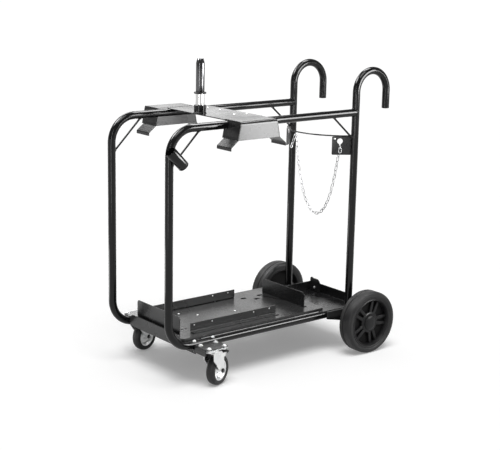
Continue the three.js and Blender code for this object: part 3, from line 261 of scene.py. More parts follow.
# Finishes
def finish(name, dark, light, rough, grain, height, metallic=0.0, specular=0.5, patch=7.0,
           stretch=(1, 1, 1), scuff=None, scuff_from=0.66, worn=None):
    material = bpy.data.materials.new(name)
    material.use_nodes = True
    nodes, links = material.node_tree.nodes, material.node_tree.links
    shader = nodes["Principled BSDF"]
    shader.inputs["Metallic"].default_value = metallic
    shader.inputs["Specular IOR Level"].default_value = specular
    coords = nodes.new("ShaderNodeTexCoord")
    mapping = nodes.new("ShaderNodeMapping")
    mapping.inputs["Scale"].default_value = stretch
    links.new(coords.outputs["Object"], mapping.inputs["Vector"])

    def noise(scale, detail, roughness=0.55, distortion=0.0):
        node = nodes.new("ShaderNodeTexNoise")
        node.inputs["Scale"].default_value = scale
        node.inputs["Detail"].default_value = detail
        node.inputs["Roughness"].default_value = roughness
        node.inputs["Distortion"].default_value = distortion
        links.new(mapping.outputs["Vector"], node.inputs["Vector"])
        return node.outputs["Fac"]

    def span(value, from0, from1, to0, to1):
        node = nodes.new("ShaderNodeMapRange")
        node.inputs["From Min"].default_value = from0
        node.inputs["From Max"].default_value = from1
        node.inputs["To Min"].default_value = to0
        node.inputs["To Max"].default_value = to1
        links.new(value, node.inputs["Value"])
        return node.outputs["Result"]

    def blend(factor, a, b):
        node = nodes.new("ShaderNodeMix")
        node.data_type = "RGBA"
        links.new(factor, node.inputs["Factor"])
        colours = [s for s in node.inputs if s.type == "RGBA"]
        for socket, value in zip(colours, (a, b)):
            if isinstance(value, tuple):
                socket.default_value = (*value, 1.0)
            else:
                links.new(value, socket)
        return [s for s in node.outputs if s.type == "RGBA"][0]

    broad = noise(patch, 5)
    fine = noise(grain, 3)
    colour = blend(span(broad, 0.35, 0.65, 0, 1), dark, light)
    roughness = span(broad, 0.3, 0.7, rough[0], rough[1])
    if scuff:
        marks = span(noise(9 * patch, 8, 0.72, 1.2), scuff_from, scuff_from + 0.09, 0, 0.6)
        colour = blend(marks, colour, scuff)
        more = nodes.new("ShaderNodeMath")
        more.operation = "MULTIPLY_ADD"
        more.inputs[1].default_value = 0.3
        links.new(marks, more.inputs[0])
        links.new(roughness, more.inputs[2])
        roughness = more.outputs["Value"]
    if worn:
        geometry = nodes.new("ShaderNodeNewGeometry")
        edge = span(geometry.outputs["Pointiness"], 0.53, 0.6, 0, 0.55)
        colour = blend(edge, colour, worn)
    links.new(colour, shader.inputs["Base Color"])
    links.new(roughness, shader.inputs["Roughness"])
    bump = nodes.new("ShaderNodeBump")
    bump.inputs["Strength"].default_value = 0.5
    bump.inputs["Distance"].default_value = height
    links.new(fine, bump.inputs["Height"])
    links.new(bump.outputs["Normal"], shader.inputs["Normal"])
    return material


PAINT = finish("black_powder_coat", (0.003, 0.003, 0.0033), (0.006, 0.006, 0.0064), (0.10, 0.18),
               650, 0.00005, specular=0.26, scuff=(0.035, 0.035, 0.036), scuff_from=0.7)
SHEET = finish("black_sheet_coat", (0.006, 0.006, 0.0065), (0.011, 0.011, 0.0115), (0.2, 0.32),
               520, 0.00014, specular=0.32, scuff=(0.05, 0.05, 0.05), scuff_from=0.68,
               worn=(0.05, 0.05, 0.05))
PLASTIC = finish("black_moulded_plastic", (0.006, 0.006, 0.0065), (0.011, 0.011, 0.0115), (0.34, 0.5),
                 420, 0.0002, specular=0.22, scuff=(0.05, 0.05, 0.05), scuff_from=0.7)
# Painted shade: plastic made darker and duller than the spokes, standing in for the shadow that falls in the recessed
# web of the wheel hollow
SHADE_PAINTED_PLASTIC = finish("plastic_with_painted_shade", (0.002, 0.002, 0.002), (0.004, 0.004, 0.004), (0.6, 0.75),
                420, 0.0002, specular=0.12)
RUBBER = finish("black_rubber", (0.009, 0.009, 0.0098), (0.021, 0.0206, 0.0206), (0.42, 0.6),
                170, 0.0007, specular=0.32, patch=14, scuff=(0.08, 0.077, 0.075), scuff_from=0.62)
ZINC = finish("bright_zinc", (0.66, 0.67, 0.68), (0.8, 0.8, 0.79), (0.24, 0.4),
              260, 0.00012, metallic=1.0, patch=22, scuff=(0.48, 0.48, 0.48), scuff_from=0.66)
DULL = finish("dull_zinc", (0.36, 0.36, 0.37), (0.5, 0.5, 0.5), (0.3, 0.45),
              260, 0.00012, metallic=1.0, patch=60, scuff=(0.3, 0.3, 0.3), scuff_from=0.62)
STEEL = finish("turned_dark_steel", (0.07, 0.07, 0.073), (0.15, 0.15, 0.153), (0.14, 0.22),
               40, 0.00002, metallic=1.0, patch=12, stretch=(9, 9, 0.5))
BRIGHT = finish("polished_steel", (0.5, 0.5, 0.5), (0.64, 0.64, 0.63), (0.12, 0.2),
                40, 0.00002, metallic=1.0, patch=12, stretch=(9, 9, 0.5))


# Pieces
def bake(piece):
    bpy.context.view_layer.update()
    done = bpy.data.meshes.new_from_object(piece.evaluated_get(bpy.context.evaluated_depsgraph_get()))
    piece.modifiers.clear()
    piece.data = done
    return done


# Flat faces keep their own normals and rounded edges blend between them
def even_out(piece):
    steady = piece.modifiers.new("even_normals", "WEIGHTED_NORMAL")
    steady.keep_sharp = True
    steady.weight = 100
    return bake(piece)


def settle(name, bm, material, body, nodes, smooth=38, even=False):
    bmesh.ops.recalc_face_normals(bm, faces=bm.faces)
    mesh = bpy.data.meshes.new(name)
    bm.to_mesh(mesh)
    bm.free()
    for face in mesh.polygons:
        face.use_smooth = True
    mesh.set_sharp_from_angle(angle=math.radians(smooth))
    piece = bpy.data.objects.new(name, mesh)
    scene.collection.objects.link(piece)
    if even:
        mesh = even_out(piece)
    mesh.materials.append(material)
    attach(piece, body)
    if nodes:
        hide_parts(*nodes)
    return piece


def soften(bm, offset, segments, angle=28):
    sharp = [e for e in bm.edges
             if len(e.link_faces) == 2 and e.calc_face_angle(0) > math.radians(angle)]
    bmesh.ops.bevel(bm, geom=sharp, offset=offset * MM, segments=segments, profile=0.5,
                    affect="EDGES", clamp_overlap=True)


def fill(bm, parts, turn=None):
    for verts, faces in parts:
        made = []
        for v in verts:
            point = Vector(v)
            if turn is not None:
                point = turn @ point
            made.append(bm.verts.new(point * MM))
        for face in faces:
            bm.faces.new([made[i] for i in face])


def build(name, parts, material, body, nodes=(), soft=0, segments=2, turn=None, smooth=38):
    bm = bmesh.new()
    fill(bm, parts, turn)
    if soft:
        bmesh.ops.recalc_face_normals(bm, faces=bm.faces)
        soften(bm, soft, segments)
    return settle(name, bm, material, body, nodes, 50 if soft else smooth, soft > 0)


# Edges that meet the round rails stand a little off them
def stand_off(bm):
    for v in bm.verts:
        for side, sign in SIDES:
            away = Vector((0, v.co.y / MM - sign * SIDE_Y, v.co.z / MM - RAIL_LOW))
            if 1 < away.length < TUBE_R + 1.6:
                shift = away.normalized() * (TUBE_R + 1.6) - away
                v.co += shift * MM


# The solid's own shape with its facets merged and its edges rounded
def refine(name, node, material, body, soft=0.8, segments=2, extra=(), turn=None, clear=False):
    bm = bmesh.new()
    bm.from_mesh(frame["nodes"][node].data)
    bmesh.ops.remove_doubles(bm, verts=bm.verts, dist=2e-6)
    bmesh.ops.dissolve_limit(bm, angle_limit=math.radians(1), verts=bm.verts, edges=bm.edges)
    if clear:
        stand_off(bm)
    if soft:
        soften(bm, soft, segments)
    fill(bm, extra, turn)
    return settle(name, bm, material, body, (node,), 50, True)


def carve(piece, parts, soft=0.5):
    bm = bmesh.new()
    fill(bm, parts)
    bmesh.ops.recalc_face_normals(bm, faces=bm.faces)
    mesh = bpy.data.meshes.new("cutter")
    bm.to_mesh(mesh)
    bm.free()
    cutter = bpy.data.objects.new("cutter", mesh)
    scene.collection.objects.link(cutter)
    change = piece.modifiers.new("cut", "BOOLEAN")
    change.operation = "DIFFERENCE"
    change.solver = "EXACT"
    change.object = cutter
    done = bake(piece)
    bpy.data.objects.remove(cutter)
    bm = bmesh.new()
    bm.from_mesh(done)
    soften(bm, soft, 2)
    bm.to_mesh(done)
    bm.free()
    for face in done.polygons:
        face.use_smooth = True
    done.set_sharp_from_angle(angle=math.radians(50))
    even_out(piece)


# Frame tubes, coped to the rear posts and welded there
def saddle(y, z, steps=56):
    r = TUBE_R + 0.4
    turns = [2 * math.pi * k / steps for k in range(steps)]
    return [Vector((POST_X + r * abs(math.cos(t)), y + r * math.sin(t), z + r * math.cos(t)))
            for t in turns]


def cope(shape, y, sides):
    verts, faces = shape
    for i in list(range(sides)) + list(range(len(verts) - sides, len(verts))):
        offset = verts[i].y - y
        verts[i].x = POST_X + math.sqrt(max(0.0, TUBE_R ** 2 - offset ** 2)) + 0.15
    return verts, faces


for side, sign in SIDES:
    y = sign * SIDE_Y
    path = bent([(POST_X, y, RAIL_LOW), (FRONT_X, y, RAIL_LOW), (FRONT_X, y, RAIL_TOP),
                 (POST_X, y, RAIL_TOP)], FRAME_BEND)
    build(f"{side}_frame_tube", [cope(sweep(path, TUBE_R, 40), y, 40)], PAINT, "cart",
          (f"{side}_side_frame",))
    path = bent([(POST_X, y, POST_FOOT), (POST_X, y, ARCH_Z + ARCH_R), (TIP_X, y, ARCH_Z + ARCH_R),
                 (TIP_X, y, TIP_Z)], ARCH_R, 40)
    build(f"{side}_post_tube", [sweep(path, TUBE_R, 40)], PAINT, "cart",
          (f"{side}_rear_post",))
    cap = [(0, 0), (12.0, 0), (14.6, 0.5), (16.0, 1.7), (16.0, 2.5), (15.4, 2.8), (0, 2.8)]
    build(f"{side}_hook_plug", [lathe(cap, (TIP_X, y, TIP_Z - 2.8), (0, 0, 1), 40)], PLASTIC, "cart",
          (f"{side}_hook_cap",))

    # Brace rods across the top corners
    front_leg, rear_drop, rear_run = 150, 120, 140
    front = (Vector((FRONT_X, y, RAIL_TOP - front_leg)), Vector((FRONT_X - front_leg, y, RAIL_TOP)))
    rear = (Vector((POST_X, y, RAIL_TOP - rear_drop)), Vector((POST_X + rear_run, y, RAIL_TOP)))
    seams = [weld(saddle(y, RAIL_LOW), 2.3), weld(saddle(y, RAIL_TOP), 2.3)]
    for label, (start, end), at_start, at_end in (
            ("front", front, Vector((-1, 0, 0)), Vector((0, 0, -1))),
            ("rear", rear, Vector((1, 0, 0)), Vector((0, 0, -1)))):
        along = (end - start).normalized()
        inset = [10.0, 10.0]
        ends = (start + along * inset[0], end - along * inset[1])
        build(f"{side}_{label}_brace_rod", [sweep(ends, 4.0, 20)], PAINT, "cart",
              (f"{side}_{label}_brace",))
        for point, heading, outward in ((start, along, at_start), (end, -along, at_end)):
            reach = TUBE_R / heading.dot(outward)
            seams.append(weld_ring(point + heading * reach, outward, 5.4, 2.2, 24))
    build(f"{side}_frame_welds", seams, PAINT, "cart")

# Torch holder on the outside of the left front upright
holder_low, holder_high = low("torch_holder"), high("torch_holder")
holder = (holder_low + holder_high) / 2
slant = Vector((1, 0, 1)).normalized()
wide = 4.0
ring = [(16 + wide, -43.2), (16.4 + wide, -44), (17.6 + wide, -44), (18 + wide, -43.2),
        (18 + wide, 43.2), (17.6 + wide, 44), (16.4 + wide, 44), (16 + wide, 43.2)]
build("torch_holder_tube", [lathe(ring, holder + Vector((0, wide, 0)), slant, 48, closed=True)], PAINT, "cart",
      ("torch_holder",))
touch = Vector((FRONT_X, SIDE_Y + TUBE_R, holder.z + FRONT_X - holder.x))
beads = []
for shift in (-1, 1):
    line = [touch + slant * (14 * t / 10) + Vector((shift * 5.5, 0.2, -shift * 5.5)) for t in range(-10, 11)]
    beads.append(weld(line, 2.4, closed=False))
build("torch_holder_welds", beads, PAINT, "cart")

# Feeder plate and pin
plate_low, plate_high = low("feeder_plate"), high("feeder_plate")
outline = rounded(plate_low.x, plate_high.x, plate_low.y, plate_high.y, 4)
build("feeder_plate_sheet", [prism(outline, across_z, plate_low.z, plate_high.z)], SHEET, "cart",
      ("feeder_plate",), soft=0.7)
pin_axis = (0, 0, 1)
pin_seat = (PIN_X, 0, PIN_Z)
height = PIN_TOP - PIN_Z
shaft = [(0, 80), (17.2, 80), (17.5, 80.6), (17.5, height - 19), (17.1, height - 17.6), (12.6, height - 0.9),
         (11.6, height), (6.5, height), (5.2, height - 2), (0, height - 3)]
build("pin_shaft", [lathe(shaft, pin_seat, pin_axis, 56)], STEEL, "cart", ("feeder_pin",))
band = [(0, 0), (17.45, 0), (17.45, 80.2), (0, 80.2)]
build("pin_bright_band", [lathe(band, pin_seat, pin_axis, 56)], BRIGHT, "cart")
collar = [(17.8, 0), (23.4, 0), (24, 0.6), (24, 4.5), (23.4, 5.2), (23.4, 6.6), (24, 7.3), (24, 31.4),
          (22.6, 33), (18.6, 33), (17.8, 32.2)]
screw = dome_bolt((PIN_X + 23.6, 0, PIN_Z + 18), (1, 0, 0), 4.2, 2.4)
build("pin_collar_ring", [lathe(collar, pin_seat, pin_axis, 56, closed=True), screw], PAINT, "cart",
      ("feeder_pin_collar",))
ring = [(17.8, 77.6), (18.4, 77), (23.6, 77), (25, 78.4), (25, 81.6), (23.6, 83), (18.4, 83), (17.8, 82.4)]
build("pin_stop_ring", [lathe(ring, pin_seat, pin_axis, 56, closed=True)], PLASTIC, "cart",
      ("feeder_pin_ring",))
seam = weld_ring((PIN_X, 0, PLATE_TOP + 0.6), pin_axis, 25.2, 1.9, 60)
build("pin_weld", [seam], PAINT, "cart")

# Platform, guides and end plates
tray = refine("platform_tray", "platform", SHEET, "cart", 0, clear=True)
# The slots are as wide as they look
slots = []
for x, y in ((42, -108), (87, -72), (132, -108)):
    x += PARTITION_X
    slots.append(prism(rounded(x - 15, x + 15, y - 9, y + 9, 8.9), across_z, FLOOR_TOP - 6, FLOOR_TOP + 3))
carve(tray, slots)
for side, sign in SIDES:
    lo, hi = low("left_guide_rail"), high("left_guide_rail")
    y0, y1, z0, z1 = lo.y, hi.y, lo.z, hi.z
    bend = arc(y0 + 4, z0 + 4, 4, 180, 270, 6)
    inner = arc(y0 + 5, z0 + 5, 2, 270, 180, 5)
    profile = [(y0, z1)] + bend + [(y1, z0), (y1, z0 + 3)] + inner + [(y0 + 3, z1)]
    profile = [(sign * a, b) for a, b in profile]
    build(f"{side}_guide_angle", [prism(profile, across_x, lo.x, hi.x)], SHEET, "cart",
          (f"{side}_guide_rail",), soft=0.5)
    bolts = []
    for x in (387, 298, 84, 1):
        z = z1 - 9
        bolts.append(dome_bolt((x, sign * y0, z), (0, -sign, 0), 3.2, 1.8))
        bolts.append(dome_bolt((x, sign * (y0 + 3), z), (0, sign, 0), 3.2, 1.8))
    build(f"{side}_guide_rivets", bolts, DULL, "cart")
refine("front_stop_sheet", "front_stop_plate", SHEET, "cart", 0.9, 3)
refine("partition_sheet", "partition_plate", SHEET, "cart", 0.9, 3)
foot_z = low("partition_plate").z + 3
bolts = []
for x, y in ((PARTITION_X - 9, -57), (PARTITION_X - 9, 58)):
    bolts += hexagon_bolt((x, y, foot_z), (0, 0, 1), 5.2, 4.2, 1.0)
for x, y in ((300, -86), (243, -30), (80, 12)):
    bolts.append(dome_bolt((x, y, FLOOR_TOP), (0, 0, 1), 4.4, 1.6))
build("platform_bolts", bolts, ZINC, "cart")
studs = []
for x, y in ((135.5, -38.5), (115, 111), (171.5, 101), (135, -120)):
    studs.append(dome_bolt((x, y, PLATE_TOP), (0, 0, 1), 4.6, 2.2))
build("feeder_plate_bolts", studs, ZINC, "cart")

# Cylinder tray, cradle rod and chain plates
refine("cylinder_pan", "cylinder_tray", SHEET, "cart", 0.9, 3, clear=True)
lo = low("cylinder_tray")
LUG_Y = lo.y + 67
lug = ([(LUG_Y, lo.z + 4), (LUG_Y + 66, lo.z + 4)] + arc(LUG_Y + 42, lo.z + 38, 24, 0, 90, 10)
       + arc(LUG_Y + 10, lo.z + 56, 9, 40, 180, 8))
build("tray_lug", [prism(lug, across_x, lo.x + 3, lo.x + 7)], SHEET, "cart", soft=0.8)
build("tray_lug_bolt", hexagon_bolt((lo.x + 7, LUG_Y + 30, lo.z + 20), (1, 0, 0), 4.6, 3.6, 1.0), ZINC, "cart")
depth = high("cradle_rod").x - 3 - POST_X
radius = (SIDE_Y ** 2 + depth ** 2) / (2 * depth)
centre_x = POST_X + depth - radius
limit = math.asin((SIDE_Y - 8) / radius)
points = []
for k in range(65):
    t = limit * (k / 32 - 1)
    points.append((centre_x + radius * math.cos(t), radius * math.sin(t), CRADLE_Z))
build("cradle_arc", [sweep(points, 3.0, 18)], PAINT, "cart", ("cradle_rod",))

PLATE_ANGLE = math.radians(34)
plate_z0, plate_z1 = low("left_chain_plate").z, high("left_chain_plate").z
KEY_S = TUBE_R + 0.3 + 46
KEY_Z = plate_z1 - 20
SLOT_Z = KEY_Z - 34


def keyhole(steps=36):
    half = 3.0
    open_angle = math.degrees(math.asin(half / 12))
    points = arc(KEY_S, KEY_Z, 12, -90 + open_angle, 270 - open_angle, steps)
    return points + arc(KEY_S, SLOT_Z + half, half, 180, 360, 10)


# Cable hangers: a cover bent down into the panel, two sloped ends and two tongues
HOOD_DROP, HOOD_HALF, HOOD_FLARE, HOOD_BEND = 71.0, 89.0, 15.0, 13.0
TONGUE = ((-2.5, 12), (0, 0), (33, -26), (33, -38))


def ribbon(points, thickness):
    path = bent([Vector((x, 0, z)) for x, z in points], 5, 5)
    left, right = [], []
    for i, point in enumerate(path):
        step = path[min(i + 1, len(path) - 1)] - path[max(i - 1, 0)]
        normal = Vector((step.z, 0, -step.x)).normalized() * (thickness / 2)
        left.append(((point + normal).x, (point + normal).z))
        right.append(((point - normal).x, (point - normal).z))
    return left + right[::-1]


for side, sign in SIDES:
    node = f"{side}_cable_hanger"
    lo, hi = low(node), high(node)
    centre_x, top = (lo.x + hi.x) / 2, hi.z
    bottom = top - HOOD_DROP
    y0, y1 = lo.y, hi.y

    def half(z, top=top):
        return HOOD_HALF + (top - z) / HOOD_DROP * HOOD_FLARE

    def over(a, b, d, centre_x=centre_x, half=half):
        return Vector((centre_x + d * (half(b) - 0.3), a, b))

    outside = [(y0, top)] + arc(y1 - HOOD_BEND, top - HOOD_BEND, HOOD_BEND, 90, 0, 10) + [(y1, bottom)]
    inside = [(y1 - 3, bottom)] + arc(y1 - HOOD_BEND, top - HOOD_BEND, HOOD_BEND - 3, 0, 90, 10) + [(y0, top - 3)]
    cover = build(f"{side}_hanger_cover", [prism(outside + inside, over, -1, 1)], SHEET, "cart",
                  (node,))
    rail = [sweep([(centre_x - 200, sign * SIDE_Y, RAIL_TOP), (centre_x + 200, sign * SIDE_Y, RAIL_TOP)],
                  TUBE_R + 0.5, 40)]
    carve(cover, rail, 0.8)
    plates, tongues = [], []
    for way in (-1, 1):
        def slope(a, b, d, way=way, centre_x=centre_x, half=half):
            return Vector((centre_x + way * (half(b) - d), a, b))

        plates.append(prism(outside[:-1] + [(y1, bottom + 0.5), (y0, bottom + 0.5)], slope, 0, 3))
        strip = [(centre_x + way * (half(bottom) - 1.5 + x), bottom + z) for x, z in TONGUE]
        tongues.append(prism(ribbon(strip, 3), across_y, y0 + 10, y1 - 0.6))
    ends = build(f"{side}_hanger_ends", plates, SHEET, "cart")
    carve(ends, rail, 0.8)
    build(f"{side}_hanger_tongues", tongues, SHEET, "cart", soft=0.8)

for side, sign in SIDES:
    along = Vector((math.cos(PLATE_ANGLE), -sign * math.sin(PLATE_ANGLE), 0))
    normal = Vector((sign * math.sin(PLATE_ANGLE), math.cos(PLATE_ANGLE), 0)) * sign
    post = Vector((POST_X, sign * SIDE_Y, 0))

    def on_plate(s, z, d, along=along, normal=normal, post=post):
        return post + along * s + normal * d + Vector((0, 0, z))

    s0, s1 = TUBE_R - 1.5, TUBE_R + 0.3 + 80
    outline = ([(s0, plate_z0)] + arc(s1 - 5, plate_z0 + 5, 5, 270, 360, 6)
               + arc(s1 - 5, plate_z1 - 5, 5, 0, 90, 6) + [(s0, plate_z1)])
    wing = build(f"{side}_chain_wing", [prism(outline, on_plate, -2, 2)], SHEET, "cart",
                 (f"{side}_chain_plate",))
    carve(wing, [prism(keyhole(), on_plate, -4, 4)])
    line = [on_plate(TUBE_R + 0.8, plate_z0 + 4 + k * (plate_z1 - plate_z0 - 8) / 30, 2.4 * sign) for k in range(31)]
    rivet = dome_bolt(on_plate(KEY_S + 22, plate_z1 - 10, 2 * sign), normal * sign, 4, 2)
    build(f"{side}_wing_weld", [weld(line, 2.2, closed=False)], PAINT, "cart")
    build(f"{side}_wing_rivet", [rivet], ZINC, "cart")
    # Rod ends welded to the posts
    end = Vector((POST_X + 15.2, sign * (SIDE_Y - 9.5), CRADLE_Z))
    build(f"{side}_cradle_weld", [weld_ring(end, Vector((1, -sign * 0.9, 0)), 3.6, 1.8, 20)], PAINT, "cart")

# Chain
WIRE = 1.75
PITCH, LINKS, INNER = 21.0, 37, 7.0
# The first link is wider, to swing on the ring
CONNECTOR = 4.6
along = Vector((math.cos(PLATE_ANGLE), -math.sin(PLATE_ANGLE), 0))
normal = Vector((math.sin(PLATE_ANGLE), math.cos(PLATE_ANGLE), 0))
anchor = Vector((POST_X, SIDE_Y, 0)) + along * KEY_S + Vector((0, 0, SLOT_Z + 0.3 + 2 * WIRE + 4.5))
start = anchor + normal * (WIRE + 0.6 - 11) + Vector((0, 0, WIRE + 0.6 - 4.5))
STUD_Z = frame["joints"][-1]["pos_m"][2] / MM
end = Vector((POST_X, TUBE_R + 8 - SIDE_Y, STUD_Z))


def loop(centre, along, across, length, width, ends=9):
    bend = (width + 2 * WIRE) / 2
    half = (length + 2 * WIRE) / 2 - bend
    points = []
    for way in (1, -1):
        for k in range(ends):
            t = math.pi * k / (ends - 1) - math.pi / 2
            points.append(centre + along * (way * (half + bend * math.cos(t))) + across * (way * bend * math.sin(t)))
    return sweep(points, WIRE, 10, closed=True)


def hanging(start, end, length):
    level = Vector((end.x - start.x, end.y - start.y, 0))
    span_, rise = level.length, end.z - start.z
    target = math.sqrt(length ** 2 - rise ** 2) / span_
    lo, hi = 1e-3, 50.0
    for _ in range(60):
        mid = (lo + hi) / 2
        lo, hi = (mid, hi) if math.sinh(mid) / mid < target else (lo, mid)
    a = span_ / (2 * lo)
    lowest = span_ / 2 - a * math.atanh(rise / length)
    heading = level.normalized()

    def at(distance):
        s = lowest + a * math.asinh(distance / a - math.sinh(lowest / a))
        drop = a * math.cosh((s - lowest) / a) - a * math.cosh(lowest / a)
        return start + heading * s + Vector((0, 0, drop))
    return at


eye = (INNER + 0.8) / 2
line = hanging(start, end + Vector((0, 0, eye)), LINKS * PITCH)
axis = (start - end).normalized()
flat = Vector((axis.x, axis.y, 0)).normalized()
facing = Vector((0, 0, 1)).cross(flat)
links = []
for i in range(LINKS):
    a, b = line(i * PITCH), line((i + 1) * PITCH)
    heading = (b - a).normalized()
    across = facing if i % 2 == 0 else facing.cross(heading).normalized()
    links.append(loop((a + b) / 2, heading, across, PITCH - 0.8, INNER + (CONNECTOR if i == 0 else 0)))
build("hanging_chain", links, DULL, "chain", ("cylinder_chain",))
front_link = loop(anchor + normal * 9.4 + Vector((0, 0, -12.5)), Vector((0, 0, 1)), along, 17.5, INNER)
build("anchor_ring", [loop(anchor, normal, Vector((0, 0, 1)), 22, 9, 12), front_link], DULL, "cart",
      ("chain_anchor_link",))
tail = []
for i in range(3):
    a = Vector((POST_X + 7 + 8 * i, TUBE_R + 11 - SIDE_Y, STUD_Z - 4 - 19 * i))
    b = a + Vector((8, 0.5, -19))
    heading = (b - a).normalized()
    across = Vector((0, 1, 0)).cross(heading) if i % 2 == 0 else Vector((0, 1, 0))
    tail.append(loop((a + b) / 2, heading, across, PITCH - 0.8, INNER))
build("chain_tail", tail, DULL, "cart")
stud = [(0, 0), (2.3, 0), (2.3, 12), (5.4, 12), (6, 12.6), (6, 14.2), (5, 15), (0, 15)]
build("chain_end_stud", [lathe(stud, end - axis * 8, axis, 28)], ZINC, "cart", ("chain_stud",))

# Rear axle, brackets and sleeves
reach = high("rear_axle").y
build("axle_shaft", [lathe([(0, -reach), (11.5, -reach), (12.5, 1 - reach), (12.5, reach - 1), (11.5, reach),
                            (0, reach)], (AXLE_X, 0, AXLE_Z), (0, 1, 0), 40)], STEEL, "cart",
      ("rear_axle",))
for side, sign in SIDES:
    refine(f"{side}_bracket_plate", f"{side}_axle_bracket", SHEET, "cart", 0.9, 3)
    lo, hi = low("left_axle_spacer"), high("left_axle_spacer")
    sleeve = [(12.8, lo.y), (16.2, lo.y), (16.8, lo.y + 0.6), (16.8, hi.y - 0.6), (16.2, hi.y), (12.8, hi.y)]
    build(f"{side}_axle_sleeve", [lathe(sleeve, (AXLE_X, 0, AXLE_Z), (0, sign, 0), 40, closed=True)], PAINT,
          "cart", (f"{side}_axle_spacer",))

# Rear wheels
TYRE = [(104.1, 26.5), (104.1, 30.4), (105.4, 31.8), (108.4, 32.3), (109.2, 31.0), (111.4, 31.0), (112.2, 33.4),
        (115.0, 34.6), (121.5, 35.3), (125.4, 34.8), (126.2, 33.0), (127.8, 32.6), (128.8, 32.6), (129.6, 31.4),
        (131.4, 30.0), (133.0, 27.0), (133.9, 22.5), (134.2, 16.0), (134.3, 6.0), (134.2, -4.6), (133.2, -5.6),
        (131.0, -6.2), (130.6, -11.2), (133.0, -12.0), (134.0, -13.0), (134.0, -20.0), (133.4, -25.0),
        (131.6, -29.4), (129.0, -31.8), (126.0, -33.8), (120.0, -34.9), (112.0, -34.0), (107.0, -32.2),
        (104.1, -31.0), (104.1, -26.5)]
BARREL = [(103.8, -30.0), (103.8, 30.0), (103.2, 31.0), (101.0, 32.0), (98.8, 31.4), (97.6, 29.0), (95.0, 20.5),
          (94.2, 18.0), (94.0, 6.0), (94.4, 4.0), (97.6, -29.0), (99.4, -31.0)]
WEB = [(23.0, 3.2), (95.4, 3.2), (95.4, 6.6), (23.0, 6.6)]
HUB = [(12.9, -30.0), (22.4, -30.0), (24.0, -28.4), (24.0, 6.0), (44.6, 6.0), (46.0, 7.4), (46.0, 16.6),
       (44.8, 18.4), (42.2, 19.0), (40.6, 20.8), (36.5, 21.8), (12.9, 22.0)]
CAP = [(0, 22.3), (33, 22.3), (33, 25.0), (31.8, 26.6), (29.4, 27.2), (28.2, 26.6), (26.8, 27.6), (22.0, 29.6),
       (13.0, 30.9), (0, 31.2)]
for side, sign in SIDES:
    body = f"{side}_rear_wheel"
    centre = Vector((AXLE_X, sign * WHEEL_Y, AXLE_Z))
    out = Vector((0, sign, 0))
    build(f"{side}_wheel_tyre", [lathe(TYRE, centre, out, 128, closed=True)], RUBBER, body,
          (f"{side}_rear_tyre",), smooth=50)
    spokes = bmesh.new()
    shapes = [lathe(BARREL, centre, out, 96, closed=True), lathe(HUB, centre, out, 72, closed=True)]
    arms = []
    for i in range(5):
        turn = Matrix.Rotation(math.radians(106 + 72 * i), 4, "Y")
        for way in (-1, 1):
            corners = []
            for radial, mid, half, face, back in ((40.0, 10.5, 6.8, 18.6, 6.5), (96.5, 17.0, 6.4, 17.2, 6.5)):
                corners.append([(radial, way * mid - half, face), (radial, way * mid + half, face),
                                (radial, way * mid + half + 0.8, back), (radial, way * mid - half - 0.8, back)])
            verts = []
            for ring in corners:
                for radial, lateral, depth_ in ring:
                    point = turn @ Vector((radial, 0, lateral))
                    verts.append(centre + Vector((point.x, sign * depth_, point.z)))
            arms.append((verts, [(0, 1, 2, 3), (7, 6, 5, 4), (0, 4, 5, 1), (1, 5, 6, 2), (2, 6, 7, 3), (3, 7, 4, 0)]))
    fill(spokes, arms)
    bmesh.ops.recalc_face_normals(spokes, faces=spokes.faces)
    soften(spokes, 1.6, 3)
    fill(spokes, shapes)
    settle(f"{side}_wheel_rim", spokes, PLASTIC, body, (f"{side}_rear_rim",))
    # The web in the rim's recess takes the painted-shade plastic, so the hollow behind the spokes reads dark
    build(f"{side}_wheel_web", [lathe(WEB, centre, out, 96, closed=True)], SHADE_PAINTED_PLASTIC, body)
    build(f"{side}_wheel_cap", [lathe(CAP, centre, out, 72)], PLASTIC, body,
          (f"{side}_hub_cap",))

# Casters
refine("caster_channel", "caster_cross_plate", SHEET, "cart", 0.9, 3)
CASTER_TYRE = [(43.1, 14.5), (43.3, 17.0), (45.5, 18.4), (50.0, 18.9), (54.5, 18.0), (58.0, 15.6), (60.4, 11.8),
               (61.6, 6.4), (61.9, 0), (61.6, -6.4), (60.4, -11.8), (58.0, -15.6), (54.5, -18.0), (50.0, -18.9),
               (45.5, -18.4), (43.3, -17.0), (43.1, -14.5)]
CASTER_RIM = [(5.1, 21.4), (11.6, 21.4), (12.8, 20.4), (13.4, 8.0), (15.5, 4.4), (19.0, 3.4), (27.0, 3.4),
              (31.5, 4.6), (35.0, 9.0), (37.4, 14.2), (39.6, 15.0), (42.7, 15.0), (42.7, -15.0), (39.6, -15.0),
              (37.4, -14.2), (35.0, -9.0), (31.5, -4.6), (27.0, -3.4), (19.0, -3.4), (15.5, -4.4), (13.4, -8.0),
              (12.8, -20.4), (11.6, -21.4), (5.1, -21.4)]
